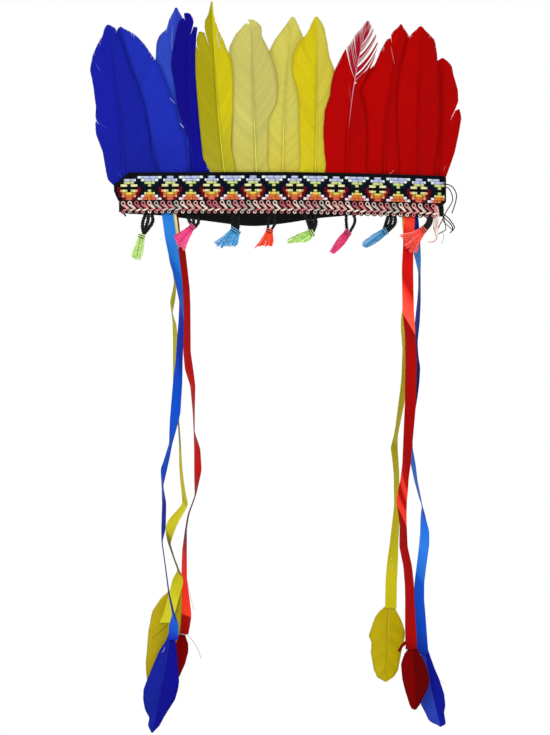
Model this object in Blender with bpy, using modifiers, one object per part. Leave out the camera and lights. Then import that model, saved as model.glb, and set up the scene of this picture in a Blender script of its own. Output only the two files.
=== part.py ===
"""Feathered headdress: a band of woven trim on felt with a crocheted edge, dyed feathers standing
behind the trim, small tassels under it, and six satin ribbons that end in small feathers.

Frame: +Z up, the front of the band faces -Y, +X is to the right of someone looking at the front.
The origin is the middle of the head opening, level with the lower edge of the woven band.
"""

import math

import bmesh
import bpy
from mathutils import Vector

MM = 0.001

# Clearance between pieces that touch on the real object
GAP = 0.3 * MM

# The head opening and the bow of the band
HEAD_ROOM = 33.0 * MM
BAND_HALF = 145.0 * MM
BAND_BOW = 17.2 * MM
BAND_SINK = 2.8 * MM
STRAP_CORNER = 20.5 * MM

# Cloth thicknesses and heights of the band
TRIM_THICK = 1.2 * MM
TRIM_HEIGHT = 23.5 * MM
TRIM_FOOT = 11.3 * MM
GIMP_THICK = 1.4 * MM
GIMP_HEIGHT = 9.6 * MM
GIMP_PITCH = 5.75 * MM
GIMP_SCALLOP = 3.2 * MM
GIMP_TILT = 1.2 * MM
FELT_THICK = 1.5 * MM
FELT_FOOT = 1.0 * MM
FELT_HEAD = 34.0 * MM
STRAP_THICK = 1.2 * MM
STRAP_HEIGHT = 35.0 * MM
STRAP_FOOT = 2.0 * MM
STRAP_SAG = 12.4 * MM
STRAP_TAB = 16.0 * MM

# Feathers in the band
LAYER_PITCH = 1.4 * MM
VANE_THICK = 0.7 * MM
QUILL_RADIUS = 0.6 * MM
QUILL_TIP = 0.42 * MM
QUILL_FOOT = 9.6 * MM
LEAN = 6.0 * MM
LEAN_STEP = 4.0 * MM
CAMBER = 2.0 * MM
SLIT_DEPTH = 30.0 * MM

# Ribbons and the small feathers at their ends
RIBBON_WIDTH = 10.0 * MM
RIBBON_THICK = 1.0 * MM
RIBBON_TOP = 1.7 * MM
RIBBON_TUCK = 4.0 * MM
RIBBON_SWAY = 10.0 * MM
SPREAD_RUN = 50.0 * MM
FRONT_START = 42.0 * MM
BACK_START = 2.5 * MM
LEFT_HANG = -94.0 * MM
RIGHT_HANG = 113.1 * MM
END_VANE = 0.7 * MM
END_QUILL = 0.55 * MM
END_CAMBER = 1.5 * MM
END_QUILL_RISE = 5.0 * MM

# Tassels
CORD_RADIUS = 1.3 * MM
CORD_PAIR = 1.8 * MM
CORD_TUCK = 3.0 * MM
CORD_EDGE = -0.3 * MM
HEAD_RADIUS = 2.3 * MM
LOCK_RADIUS = 1.9 * MM
LOCK_NECK = 0.9 * MM
LOCKS = 5
TASSEL_FORWARD = 3.0 * MM
SKIRT_FORWARD = 2.5 * MM

# Ends of the trim: place along the half width, drop of the top and rise of the foot as shares of its height
TRIM_ENDS = [
    (-1.0, 0.41, 0.39),
    (-0.971, 0.33, 0.0),
    (-0.952, 0.20, 0.0),
    (-0.909, 0.0, 0.0),
    (0.985, 0.0, 0.0),
    (1.0, 0.08, 0.10),
]
FELT_ENDS = [
    (-0.985, 0.30, 0.60),
    (-0.962, 0.20, 0.30),
    (-0.938, 0.10, 0.0),
    (-0.909, 0.0, 0.0),
    (0.985, 0.0, 0.0),
]
GIMP_ENDS = [
    (-0.975, 0.0, 0.80),
    (-0.945, 0.0, 0.0),
    (0.962, 0.0, 0.0),
]

# Lower edge of the back strap: place along its half width, share of the sag
STRAP_LINE = [
    (-1.0, 0.0),
    (-0.78, 0.10),
    (-0.63, 0.33),
    (-0.47, 0.56),
    (-0.27, 0.90),
    (-0.18, 1.0),
    (-0.09, 0.93),
    (0.03, 0.75),
    (0.09, 0.64),
    (0.21, 0.37),
    (0.29, 0.27),
    (0.50, 0.05),
    (1.0, 0.0),
]

# Outline rows of each feather: rise, left edge and right edge, in hundredths of its height and width
BLUE_OUTER_ROWS = [
    (8, -8, 16), (13, -23, 39), (18, -26, 50), (29, -31, 41), (39, -41, 38), (46, -42, 35), (54, -41, 32),
    (66, -45, 22), (75, -50, 10), (83, -46, 3), (89, -39, -2), (94, -31, -7), (98, -29, -10), (100, -26, -21),
]
BLUE_SECOND_ROWS = [
    (8, 5, 32), (14, -8, 46), (19, -17, 46), (29, -29, 45), (39, -37, 43), (47, -42, 35), (54, -46, 32),
    (60, -48, 28), (70, -50, 20), (78, -50, 13), (82, -49, 7), (90, -46, -4), (96, -40, -15), (99, -35, -25),
    (100, -33, -30),
]
BLUE_PALE_ROWS = [
    (7, -12, 18), (13, -28, 38), (22, -38, 45), (37, -42, 50), (52, -48, 50), (65, -50, 50), (74, -50, 45),
    (82, -48, 40), (86, -40, 35), (89, -22, 28), (94, -16, 20), (98, -5, 10), (100, -1, 5),
]
BLUE_DARK_ROWS = [
    (7, 14, 42), (13, 6, 50), (19, 2, 49), (30, 0, 33), (39, -1, 29), (46, -19, 25), (49, -31, 24),
    (55, -36, 19), (62, -40, 18), (71, -50, 17), (76, -50, 17), (81, -46, 17), (87, -40, 19), (93, -33, 24),
    (97, -28, 11), (100, -14, 3),
]
YELLOW_FIRST_ROWS = [
    (5, 26, 47), (10, 11, 50), (16, -8, 45), (22, -29, 39), (29, -33, 37), (38, -38, 47), (47, -42, 50),
    (58, -47, 50), (64, -49, 50), (72, -50, 45), (77, -49, 32), (82, -46, 22), (86, -41, 11), (89, -26, 7),
    (93, -16, -1), (100, -8, -4),
]
YELLOW_SECOND_ROWS = [
    (6, -10, 19), (11, -30, 26), (18, -42, 30), (29, -44, 30), (38, -42, 30), (46, -43, 30), (51, -45, 38),
    (55, -48, 48), (64, -50, 50), (71, -50, 46), (77, -49, 41), (85, -46, 30), (91, -36, 18), (96, -23, 17),
    (98, -17, 11), (100, -9, 3),
]
YELLOW_THIRD_ROWS = [
    (6, -14, 7), (11, -31, 26), (18, -43, 38), (28, -48, 43), (39, -50, 48), (50, -50, 50), (60, -50, 50),
    (70, -49, 50), (78, -45, 50), (83, -36, 49), (88, -24, 46), (93, -7, 37), (97, 5, 30), (100, 14, 23),
]
YELLOW_FOURTH_ROWS = [
    (6, -16, 11), (11, -27, 25), (18, -31, 32), (28, -32, 39), (39, -34, 43), (53, -34, 48), (62, -39, 50),
    (70, -50, 50), (78, -50, 36), (82, -43, 33), (87, -34, 30), (89, -23, 28), (93, -11, 25), (97, -6, 19),
    (100, 2, 9),
]
RED_FIRST_ROWS = [
    (6, -16, 8), (11, -32, 21), (17, -43, 26), (28, -48, 29), (39, -50, 30), (51, -47, 27), (58, -39, 21),
    (64, -36, 13), (68, -34, 12), (73, -29, 29), (78, -21, 41), (84, -11, 47), (87, -2, 49), (92, 7, 45),
    (95, 16, 41), (98, 23, 36), (100, 28, 32),
]
RED_SECOND_ROWS = [
    (6, -12, 8), (12, -23, 18), (17, -32, 27), (29, -40, 35), (40, -45, 40), (52, -48, 45), (60, -50, 47),
    (69, -48, 48), (73, -33, 48), (77, -17, 48), (83, -10, 47), (88, -3, 46), (92, 4, 43), (96, 15, 37),
    (98, 22, 32), (100, 26, 29),
]
RED_THIRD_ROWS = [
    (6, -20, 12), (12, -36, 28), (19, -41, 34), (30, -45, 43), (41, -48, 48), (52, -50, 50), (63, -49, 50),
    (72, -45, 49), (79, -39, 45), (86, -32, 42), (92, -25, 38), (95, -19, 28), (98, -8, 16), (100, 1, 9),
]
RED_OUTER_ROWS = [
    (8, -24, 1), (14, -35, 6), (18, -40, 8), (25, -42, 18), (35, -45, 31), (48, -47, 42), (59, -49, 49),
    (70, -50, 41), (78, -49, 40), (89, -42, 28), (95, -32, 24), (99, -17, 12), (100, -6, 5),
]

# name, layer behind the trim, middle x, width and height in mm, quill place at foot, half way and tip in
# hundredths of the width, outline rows
BAND_FEATHERS = [
    ("feather_blue_outer", 0, -136.5, 59.9, 156.6, (4, -7, -23), BLUE_OUTER_ROWS),
    ("feather_blue_second", 1, -115.3, 77.4, 154.9, (19, -5, -31), BLUE_SECOND_ROWS),
    ("feather_blue_pale", 2, -91.4, 34.8, 171.4, (2, 0, 2), BLUE_PALE_ROWS),
    ("feather_blue_dark", 1, -79.2, 31.3, 166.2, (28, -3, -6), BLUE_DARK_ROWS),
    ("feather_yellow_first", 0, -57.4, 33.1, 175.7, (38, 8, -6), YELLOW_FIRST_ROWS),
    ("feather_yellow_second", 1, -23.9, 44.4, 160.1, (10, 3, -3), YELLOW_SECOND_ROWS),
    ("feather_yellow_third", 2, 4.4, 36.5, 162.7, (-5, -1, 18), YELLOW_THIRD_ROWS),
    ("feather_yellow_fourth", 1, 29.6, 38.3, 162.7, (1, 6, 6), YELLOW_FOURTH_ROWS),
    ("feather_red_first", 0, 61.8, 48.7, 159.2, (-7, -1, 30), RED_FIRST_ROWS),
    ("feather_red_second", 1, 91.4, 52.2, 156.6, (-2, 5, 27), RED_SECOND_ROWS),
    ("feather_red_third", 0, 120.9, 38.3, 154.9, (-2, 0, 5), RED_THIRD_ROWS),
    ("feather_red_outer", 1, 142.2, 33.9, 127.5, (-12, -1, 0), RED_OUTER_ROWS),
]

# Slits between barbs: feather, place across in hundredths of its width, rise of the closed end and of the
# mouth in hundredths of its height, place across at the mouth, width of the mouth in hundredths
SLITS = [
    ("feather_yellow_first", -18, 77, -42, 90, 9),
    ("feather_red_second", 17, 76, 9, 95, 7),
    ("feather_red_outer", 32, 61, 54, 71, 9),
    ("feather_red_first", 12, 70, 36, 84, 9),
]

# Ribbon rows: drop in hundredths of the length, sideways place in hundredths of the sway, twist in degrees
BLUE_LEFT_PATH = [
    (0, -38, 0), (6, -8, 15), (11, 22, 35), (16, 57, 52), (21, 82, 72), (25.5, 80, 66), (28.5, 75, 60),
    (35, 62, 55), (40, 49, 38), (47, 30, 32), (54, -10, 76), (58, -48, 65), (60, -70, 58), (64, -83, 85),
    (68, -68, 72), (74, -74, 70), (77, -87, 88), (82, -61, 88), (89, -27, 86), (94, 14, 80), (96.6, 14, 4),
    (100, 10, 2),
]
YELLOW_LEFT_PATH = [
    (0, -10, 0), (5, 22, 12), (8, 22, 24), (12, 12, 52), (14.5, 21, 72), (17, 23, 84), (19, 18, 76), (21.6, 2, 67),
    (24.4, -4, 88), (27, 18, 75), (31.6, 30, 65), (41.5, 26, 68), (51.7, 56, 85), (56, 66, 84),
    (61.6, 73, 78), (65.5, 85, 75), (69, 103, 72), (70.9, 112, 62), (72.1, 88, 50), (73.6, 48, 34),
    (75.1, 9, 12), (76.7, -13, 30), (78.3, -23, 52), (80.6, -27, 82), (84.1, 14, 86), (87.2, 55, 84),
    (90.3, 46, 6), (98, -17, 3), (100, -50, 2),
]
RED_LEFT_PATH = [
    (0, 17, 0), (9, 70, 25), (18, 113, 45), (22, 122, 50), (33, 126, 52), (37, 144, 46), (41, 177, 66),
    (47, 185, 82), (52, 189, 88), (56, 216, 60), (61, 222, 52), (67, 200, 86), (71.5, 139, 84), (75, 117, 84),
    (80, 104, 69), (87, 102, 62), (92.5, 117, 46), (95.5, 124, 22), (98.3, 104, 4),
    (100, 91, 2),
]
RED_RIGHT_PATH = [
    (0, 0, 0), (8, -14, 20), (13, -20, 8), (22.5, -14, 5), (28, 3, 24), (34, 12, 5), (44, 5, 15),
    (53.9, -20, 38), (57.6, -29, 43), (61.2, -47, 44), (63.4, -58, 31), (66, -71, 25), (68.9, -65, 44),
    (71.4, -58, 52), (76.5, -55, 44), (80.9, -19, 41), (85.3, -3, 37), (89, 0, 36), (94, 5, 22), (98, 11, 4),
    (100, 13, 2),
]
YELLOW_RIGHT_PATH = [
    (0, -21, 0), (2.5, -17, 0), (5, -11, 12), (8.6, -8, 34), (22.4, -16, 50), (26.5, -41, 50), (29.3, -41, 50),
    (34.4, -28, 52), (41.3, -41, 58), (44.8, -51, 56), (48.2, -68, 58), (53.8, -101, 68), (56.6, -119, 68),
    (59.4, -132, 52), (61.8, -123, 57), (65.8, -111, 61), (73.8, -108, 62), (77.8, -116, 52),
    (83.8, -133, 41), (89.8, -150, 14), (93, -157, 6), (97.5, -160, 4), (100, -161, 2),
]
BLUE_RIGHT_PATH = [
    (0, 22, 0), (4, 40, 14), (7.7, 59, 37), (10.8, 77, 59), (13.3, 89, 78), (17, 89, 78), (20, 85, 72),
    (24.7, 70, 65), (29.3, 52, 66), (32.4, 56, 62), (35, 69, 57), (38.6, 59, 55), (41.7, 47, 60),
    (46, 24, 66), (50, 9, 68), (53.3, 11, 68), (57, 34, 65), (60.8, 59, 74), (64.4, 93, 80), (66.3, 113, 88),
    (67.9, 118, 71), (69.8, 124, 58), (72.3, 136, 37), (75.1, 131, 27), (80.5, 104, 31), (83.8, 88, 31),
    (87.7, 84, 22), (91.3, 95, 18), (94.9, 103, 8), (98.5, 114, 4), (100, 118, 2),
]

# name, hang line, layer at the band, spread back and start of the spread in mm, length in mm, rows
RIBBONS = [
    ("ribbon_blue_left", LEFT_HANG, 0, -4.0, FRONT_START, 372.4, BLUE_LEFT_PATH),
    ("ribbon_yellow_left", LEFT_HANG, 1, 8.0, 0.0, 358.4, YELLOW_LEFT_PATH),
    ("ribbon_red_left", LEFT_HANG, 2, 20.0, 0.0, 368.9, RED_LEFT_PATH),
    ("ribbon_red_right", RIGHT_HANG, 0, -1.0, FRONT_START, 381.0, RED_RIGHT_PATH),
    ("ribbon_yellow_right", RIGHT_HANG, 2, 17.0, BACK_START, 346.2, YELLOW_RIGHT_PATH),
    ("ribbon_blue_right", RIGHT_HANG, 1, 10.5, 0.0, 386.2, BLUE_RIGHT_PATH),
]

# Outline rows of the small feathers: drop, left and right edge, in hundredths of the height and width
END_YELLOW_LEFT_ROWS = [
    (0, 18, 45), (9, -9, 46), (22, -31, 46), (28, -35, 45), (42, -42, 42), (62, -46, 24), (73, -49, 11),
    (83, -48, -5), (91, -46, -21), (99, -39, -32),
]
END_BLUE_LEFT_ROWS = [
    (2, 20, 36), (8, 14, 39), (18, -4, 42), (33, -22, 46), (49, -40, 49), (57, -48, 46), (67, -49, 38),
    (77, -44, 21), (85, -32, 7), (93, -36, -4), (100, -27, -22),
]
END_RED_LEFT_ROWS = [
    (4, -13, 33), (22, -39, 49), (36, -46, 49), (59, -50, 33), (81, -45, 7), (98, -29, -19),
]
END_YELLOW_RIGHT_ROWS = [
    (1, -4, 22), (8, -21, 27), (15, -32, 36), (24, -39, 44), (34, -46, 50), (40, -50, 50), (49, -42, 47),
    (62, -44, 40), (84, -36, 32), (94, -27, 19), (100, -8, 5),
]
END_RED_RIGHT_ROWS = [
    (2, -23, 6), (10, -33, 17), (20, -42, 25), (35, -50, 37), (52, -42, 50), (64, -38, 46), (77, -27, 31),
    (91, -16, 15), (99, -11, 6),
]
END_BLUE_RIGHT_ROWS = [
    (2, -41, -17), (15, -43, -4), (27, -44, 9), (41, -48, 27), (60, -49, 45), (73, -41, 49), (83, -25, 44),
    (92, -13, 49), (98, 7, 50), (100, 21, 36),
]

# name, ribbon, sideways step from the ribbon's end, lap, width and height in mm, quill places, rows
END_FEATHERS = [
    ("end_feather_yellow_left", "ribbon_yellow_left", -0.8, 29.6, 33.1, 87.0, (33, -8, -36), END_YELLOW_LEFT_ROWS),
    ("end_feather_blue_left", "ribbon_blue_left", -10.5, 7.0, 32.2, 87.9, (27, 3, -24), END_BLUE_LEFT_ROWS),
    ("end_feather_red_left", "ribbon_red_left", -3.3, 1.0, 16.8, 45.2, (12, -3, -24), END_RED_LEFT_ROWS),
    ("end_feather_red_right", "ribbon_red_right", 3.7, 1.7, 25.2, 54.4, (-9, 1, -2), END_RED_RIGHT_ROWS),
    ("end_feather_yellow_right", "ribbon_yellow_right", -3.5, 2.6, 31.8, 67.0, (7, 3, -4), END_YELLOW_RIGHT_ROWS),
    ("end_feather_blue_right", "ribbon_blue_right", 7.5, 7.0, 23.9, 70.5, (-30, -4, 32), END_BLUE_RIGHT_ROWS),
]

# name, hang x, head step sideways and down, skirt step sideways and down, width of the skirt's end, extra
# step forward, all in mm
TASSELS = [
    ("tassel_1", -114.0, -5.7, 18.3, -7.0, 19.1, 7.5, 0.0),
    ("tassel_2", -73.1, -4.4, 14.8, -9.6, 15.7, 13.0, 6.0),
    ("tassel_3", -38.3, -2.6, 14.8, -7.8, 13.0, 17.0, 0.0),
    ("tassel_4", -7.0, -2.6, 16.5, -5.2, 13.0, 13.0, 0.0),
    ("tassel_5", 26.1, -0.9, 17.4, -15.6, 6.4, 7.0, 0.0),
    ("tassel_6", 60.9, -2.6, 17.8, -13.5, 14.4, 5.0, 0.0),
    ("tassel_7", 96.6, -6.5, 17.0, -15.7, 10.9, 5.0, 0.0),
    ("tassel_8", 130.5, -7.0, 14.8, -11.8, 12.2, 15.0, 6.0),
]

BLUE = (0.012, 0.014, 0.42)
YELLOW = (0.60, 0.50, 0.03)
RED = (0.42, 0.0, 0.0)
BLACK = (0.008, 0.008, 0.010)
SATIN_BLUE = (0.004, 0.07, 0.47)
SATIN_YELLOW = (0.45, 0.42, 0.01)
SATIN_RED = (0.40, 0.004, 0.004)
TASSEL_COLOURS = [
    (0.46, 0.72, 0.19), (0.81, 0.08, 0.26), (0.08, 0.34, 0.63), (1.0, 0.04, 0.006),
    (0.46, 0.72, 0.19), (0.63, 0.03, 0.16), (0.05, 0.27, 0.52), (1.0, 0.08, 0.05),
]

# Depths behind the front face of the trim, and the radius that gives the band its bow
BAND_RADIUS = (BAND_HALF ** 2 + BAND_BOW ** 2) / (2 * BAND_BOW)
LAYER_FIRST = TRIM_THICK + GAP + QUILL_RADIUS
FELT_DEPTH = LAYER_FIRST + 2 * LAYER_PITCH + QUILL_RADIUS + GAP
STACK = FELT_DEPTH + FELT_THICK
STRAP_DEPTH = STACK + GAP + STRAP_THICK / 2
BAND_FRONT = HEAD_ROOM + STACK
STRAP_RADIUS = BAND_RADIUS - STRAP_DEPTH
STRAP_HALF_DEPTH = BAND_FRONT - STRAP_DEPTH
TIP_RISE = 190.0 * MM


def start_scene():
    for thing in list(bpy.data.objects):
        bpy.data.objects.remove(thing, do_unlink=True)
    parts = bpy.data.collections.new("Feathered headdress")
    cutters = bpy.data.collections.new("Cutters")
    bpy.context.scene.collection.children.link(parts)
    bpy.context.scene.collection.children.link(cutters)
    return parts, cutters


def finish_piece(obj, colour, roughness, parts):
    material = bpy.data.materials.new("mat_" + obj.name)
    material.use_nodes = True
    shader = material.node_tree.nodes["Principled BSDF"]
    shader.inputs["Base Color"].default_value = (*colour, 1.0)
    shader.inputs["Roughness"].default_value = roughness
    shader.inputs["Metallic"].default_value = 0.0
    obj.data.materials.clear()
    obj.data.materials.append(material)
    parts.objects.link(obj)
    return obj


def as_guide(obj, cutters):
    obj.hide_render = True
    obj.display_type = "WIRE"
    cutters.objects.link(obj)
    return obj


def interpolate(rows, at):
    """Smooth value of each later column of a table at a place in its first column."""
    if at <= rows[0][0]:
        return list(rows[0][1:])
    if at >= rows[-1][0]:
        return list(rows[-1][1:])
    spot = max(i for i in range(len(rows) - 1) if rows[i][0] <= at)
    before = rows[spot]
    after = rows[spot + 1]
    t = (at - before[0]) / (after[0] - before[0])
    ease = t * t * (3 - 2 * t)
    return [a + (b - a) * (0.5 * t + 0.5 * ease) for a, b in zip(before[1:], after[1:])]


def bowed(x, depth):
    """Point on the bowed band at this x, this far behind the front face of the trim."""
    radius = BAND_RADIUS - depth
    angle = math.asin(max(-0.9, min(0.9, x / radius)))
    return Vector((x, -BAND_FRONT + BAND_RADIUS - radius * math.cos(angle), 0.0))


def band_sink(x):
    """How far the band has sunk at this x: its right half dips a little towards the end."""
    return BAND_SINK * max(0.0, x / BAND_HALF) ** 1.4


def mapped_grid(name, columns, rows, place):
    """A grid primitive whose corners are moved to place(column, row)."""
    mesh = bpy.data.meshes.new(name)
    work = bmesh.new()
    bmesh.ops.create_grid(work, x_segments=columns, y_segments=rows, size=0.5)
    for corner in work.verts:
        column = round((corner.co.x + 0.5) * columns)
        row = round((corner.co.y + 0.5) * rows)
        corner.co = place(column, row)
    work.to_mesh(mesh)
    work.free()
    return bpy.data.objects.new(name, mesh)


def solidify(obj, thickness, offset):
    wall = obj.modifiers.new("Wall", "SOLIDIFY")
    wall.thickness = thickness
    wall.offset = offset
    wall.use_even_offset = False
    return wall


def swept_tube(name, points, radii, sides):
    """A round wire along points, made a mesh with its caps welded on."""
    curve = bpy.data.curves.new(name, "CURVE")
    curve.dimensions = "3D"
    curve.bevel_depth = 1.0
    curve.bevel_resolution = sides
    curve.use_fill_caps = True
    line = curve.splines.new("POLY")
    line.points.add(len(points) - 1)
    for spot, point, radius in zip(line.points, points, radii):
        spot.co = (*point, 1.0)
        spot.radius = radius
    wire = bpy.data.objects.new(name + "_wire", curve)
    bpy.context.scene.collection.objects.link(wire)
    bpy.context.view_layer.update()
    evaluated = wire.evaluated_get(bpy.context.evaluated_depsgraph_get())
    mesh = bpy.data.meshes.new_from_object(evaluated)
    obj = bpy.data.objects.new(name, mesh)
    obj.matrix_world = wire.matrix_world
    bpy.data.objects.remove(wire, do_unlink=True)
    work = bmesh.new()
    work.from_mesh(mesh)
    bmesh.ops.remove_doubles(work, verts=work.verts, dist=0.01 * MM)
    bmesh.ops.recalc_face_normals(work, faces=work.faces)
    work.to_mesh(mesh)
    work.free()
    return obj


def three_point(values, t):
    """Curve through its values at 0, one half and 1."""
    a, b, c = values
    return a * (1 - t) * (1 - 2 * t) + b * 4 * t * (1 - t) + c * t * (2 * t - 1)


def columns_between(ends, steps):
    """Places along the half width: the table's own and even steps between them."""
    places = {row[0] for row in ends}
    first = ends[0][0]
    last = ends[-1][0]
    for i in range(steps + 1):
        place = first + (last - first) * i / steps
        if min(abs(place - p) for p in places) > 0.01:
            places.add(place)
    return sorted(places)


def band_plate(name, ends, steps, foot, height, depth, thick, colour, roughness, parts):
    """A cloth strip on the bow of the band, its ends cut as the table says."""
    places = columns_between(ends, steps)

    def place(column, row):
        share = places[column]
        spot = max(i for i in range(len(ends) - 1) if ends[i][0] <= share or i == 0)
        before = ends[spot]
        after = ends[spot + 1]
        t = (share - before[0]) / (after[0] - before[0])
        drop = before[1] + (after[1] - before[1]) * t
        rise = before[2] + (after[2] - before[2]) * t
        low = foot + rise * height
        high = foot + height * (1 - drop)
        point = bowed(share * BAND_HALF, depth)
        point.z = low + (high - low) * row - band_sink(point.x)
        return point

    obj = mapped_grid(name, len(places) - 1, 1, place)
    solidify(obj, thick, -1.0)
    return finish_piece(obj, colour, roughness, parts)


def gimp(parts):
    """The crocheted edge: a strip whose lower edge hangs in small scallops."""
    left = GIMP_ENDS[0][0] * BAND_HALF
    slant = GIMP_ENDS[1][0] * BAND_HALF
    right = GIMP_ENDS[-1][0] * BAND_HALF
    count = round((right - slant) / GIMP_PITCH)
    places = [(left, 1 - GIMP_ENDS[0][2])]
    for i in range(count):
        for phase, share in ((0.0, 1 - GIMP_SCALLOP / GIMP_HEIGHT), (0.3, 0.96), (0.7, 0.96)):
            places.append((slant + (right - slant) * (i + phase) / count, share))
    places.append((right, 1 - GIMP_SCALLOP / GIMP_HEIGHT))
    head = TRIM_FOOT - GAP

    def place(column, row):
        x, share = places[column]
        point = bowed(x, TRIM_THICK - GIMP_THICK)
        tilt = GIMP_TILT * (x - left) / (right - left)
        low = head - (GIMP_HEIGHT + tilt) * share
        point.z = low + (head - low) * row - band_sink(x)
        return point

    obj = mapped_grid("gimp_braid", len(places) - 1, 1, place)
    solidify(obj, GIMP_THICK, -1.0)
    return finish_piece(obj, (0.55, 0.22, 0.19), 0.85, parts)


def back_strap(parts):
    """The elastic that runs round the back: sewn tabs behind the ends, tight corners, and a sagging run."""
    centre_y = -BAND_FRONT + BAND_RADIUS
    cosine = (STRAP_RADIUS - STRAP_HALF_DEPTH) / (STRAP_RADIUS - STRAP_CORNER)
    bend = math.acos(cosine)
    corner_x = (STRAP_RADIUS - STRAP_CORNER) * math.sin(bend)
    tab = STRAP_TAB / STRAP_RADIUS
    path = []
    for i in range(5):
        angle = -(bend - tab) - tab * i / 4
        path.append((STRAP_RADIUS * math.sin(angle), centre_y - STRAP_RADIUS * math.cos(angle)))
    for i in range(1, 12):
        angle = bend + (math.pi - 2 * bend) * i / 12
        path.append((-corner_x - STRAP_CORNER * math.sin(angle), -STRAP_CORNER * math.cos(angle)))
    for i in range(29):
        angle = -bend + 2 * bend * i / 28
        path.append((STRAP_RADIUS * math.sin(angle), -centre_y + STRAP_RADIUS * math.cos(angle)))
    mirrored = [(-x, y) for x, y in reversed(path[:16])]
    path = path[:45] + mirrored
    half = corner_x + STRAP_CORNER

    def place(column, row):
        x, y = path[column]
        sag = interpolate(STRAP_LINE, x / half)[0] if y > 0 else 0.0
        return Vector((x, y, STRAP_FOOT - STRAP_SAG * sag + STRAP_HEIGHT * row))

    obj = mapped_grid("back_strap", len(path) - 1, 1, place)
    solidify(obj, STRAP_THICK, 0.0)
    return finish_piece(obj, BLACK, 0.9, parts)


def vane_point(spec, rise, across):
    """Point of a band feather at this rise and this place across, both as shares."""
    name, layer, middle, width, height, quill, rows = spec
    depth = LAYER_FIRST + layer * LAYER_PITCH
    x = middle * MM + across * width * MM
    point = bowed(x, depth)
    point.z = QUILL_FOOT + rise * height * MM
    up = max(0.0, point.z - FELT_HEAD) / TIP_RISE
    off = across - three_point(quill, rise) / 100
    point.y += (LEAN + layer * LEAN_STEP) * up ** 1.5 + CAMBER * up * (2 * off) ** 2
    return point


def band_feather(spec, parts, cutters):
    name, layer, middle, width, height, quill, rows = spec

    def place(column, row):
        rise, left, right = rows[row]
        return vane_point(spec, rise / 100, (left + (right - left) * column / 3) / 100)

    obj = mapped_grid(name, 3, len(rows) - 1, place)
    solidify(obj, VANE_THICK, 0.0)
    rises = [0.0] + [row[0] / 100 for row in rows[1::2] if row[0] < 90]
    points = [vane_point(spec, rise, three_point(quill, rise) / 100) for rise in rises]
    radii = [QUILL_RADIUS + (QUILL_TIP - QUILL_RADIUS) * rise for rise in rises]
    shaft = as_guide(swept_tube(name + "_shaft", points, radii, 1), cutters)
    join = obj.modifiers.new("Shaft", "BOOLEAN")
    join.operation = "UNION"
    join.solver = "EXACT"
    join.object = shaft
    for number, slit in enumerate(s for s in SLITS if s[0] == name):
        closed = vane_point(spec, slit[2] / 100, slit[1] / 100)
        mouth = vane_point(spec, slit[4] / 100, slit[3] / 100)
        half = slit[5] / 200 * width * MM
        cutter = as_guide(wedge(f"{name}_slit_{number}", closed, mouth, half), cutters)
        cut = obj.modifiers.new("Slit", "BOOLEAN")
        cut.operation = "DIFFERENCE"
        cut.solver = "EXACT"
        cut.object = cutter
    colour = BLUE if "blue" in name else YELLOW if "yellow" in name else RED
    return finish_piece(obj, colour, 0.75, parts)


def wedge(name, closed, mouth, half):
    """A flat wedge that opens from the closed end of a slit to its mouth, seen from the front."""
    curve = bpy.data.curves.new(name, "CURVE")
    curve.dimensions = "2D"
    curve.fill_mode = "BOTH"
    curve.extrude = SLIT_DEPTH / 2
    along = Vector((mouth.x - closed.x, mouth.z - closed.z))
    side = Vector((-along.y, along.x)).normalized() * half
    line = curve.splines.new("POLY")
    line.points.add(2)
    corners = ((0.0, 0.0), (along.x - side.x, along.y - side.y), (along.x + side.x, along.y + side.y))
    for spot, corner in zip(line.points, corners):
        spot.co = (corner[0], corner[1], 0.0, 1.0)
    line.use_cyclic_u = True
    flat = bpy.data.objects.new(name + "_flat", curve)
    flat.location = (closed.x, closed.y, closed.z)
    flat.rotation_euler = (math.pi / 2, 0.0, 0.0)
    bpy.context.scene.collection.objects.link(flat)
    bpy.context.view_layer.update()
    evaluated = flat.evaluated_get(bpy.context.evaluated_depsgraph_get())
    mesh = bpy.data.meshes.new_from_object(evaluated)
    obj = bpy.data.objects.new(name, mesh)
    obj.matrix_world = flat.matrix_world
    bpy.data.objects.remove(flat, do_unlink=True)
    work = bmesh.new()
    work.from_mesh(mesh)
    bmesh.ops.remove_doubles(work, verts=work.verts, dist=0.01 * MM)
    bmesh.ops.recalc_face_normals(work, faces=work.faces)
    work.to_mesh(mesh)
    work.free()
    return obj


def ribbon_centre(spec, drop):
    """Centre and twist of a ribbon at this drop, a share of its length."""
    name, hang, layer, spread, start, length, rows = spec
    sway, twist = interpolate(rows, max(0.0, drop) * 100)
    x = hang + RIBBON_SWAY * sway / 100
    point = bowed(x, LAYER_FIRST + layer * LAYER_PITCH)
    point.z = RIBBON_TOP - drop * length * MM
    t = max(0.0, min(1.0, (-point.z - start) / SPREAD_RUN))
    point.y += spread * MM * t * t * (3 - 2 * t)
    bow = math.asin(x / BAND_RADIUS) * max(0.0, min(1.0, 1 + point.z / SPREAD_RUN))
    return point, math.radians(twist) + bow


def ribbon(spec, colour, parts):
    name, hang, layer, spread, start, length, rows = spec
    tuck = -RIBBON_TUCK / (length * MM)
    drops = [tuck] + [i / 27 for i in range(28)]

    def place(column, row):
        point, twist = ribbon_centre(spec, drops[len(drops) - 1 - row])
        side = RIBBON_WIDTH * (column - 0.5)
        return point + Vector((side * math.cos(twist), side * math.sin(twist), 0.0))

    obj = mapped_grid(name, 1, len(drops) - 1, place)
    solidify(obj, RIBBON_THICK, 0.0)
    return finish_piece(obj, colour, 0.35, parts)


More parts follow.
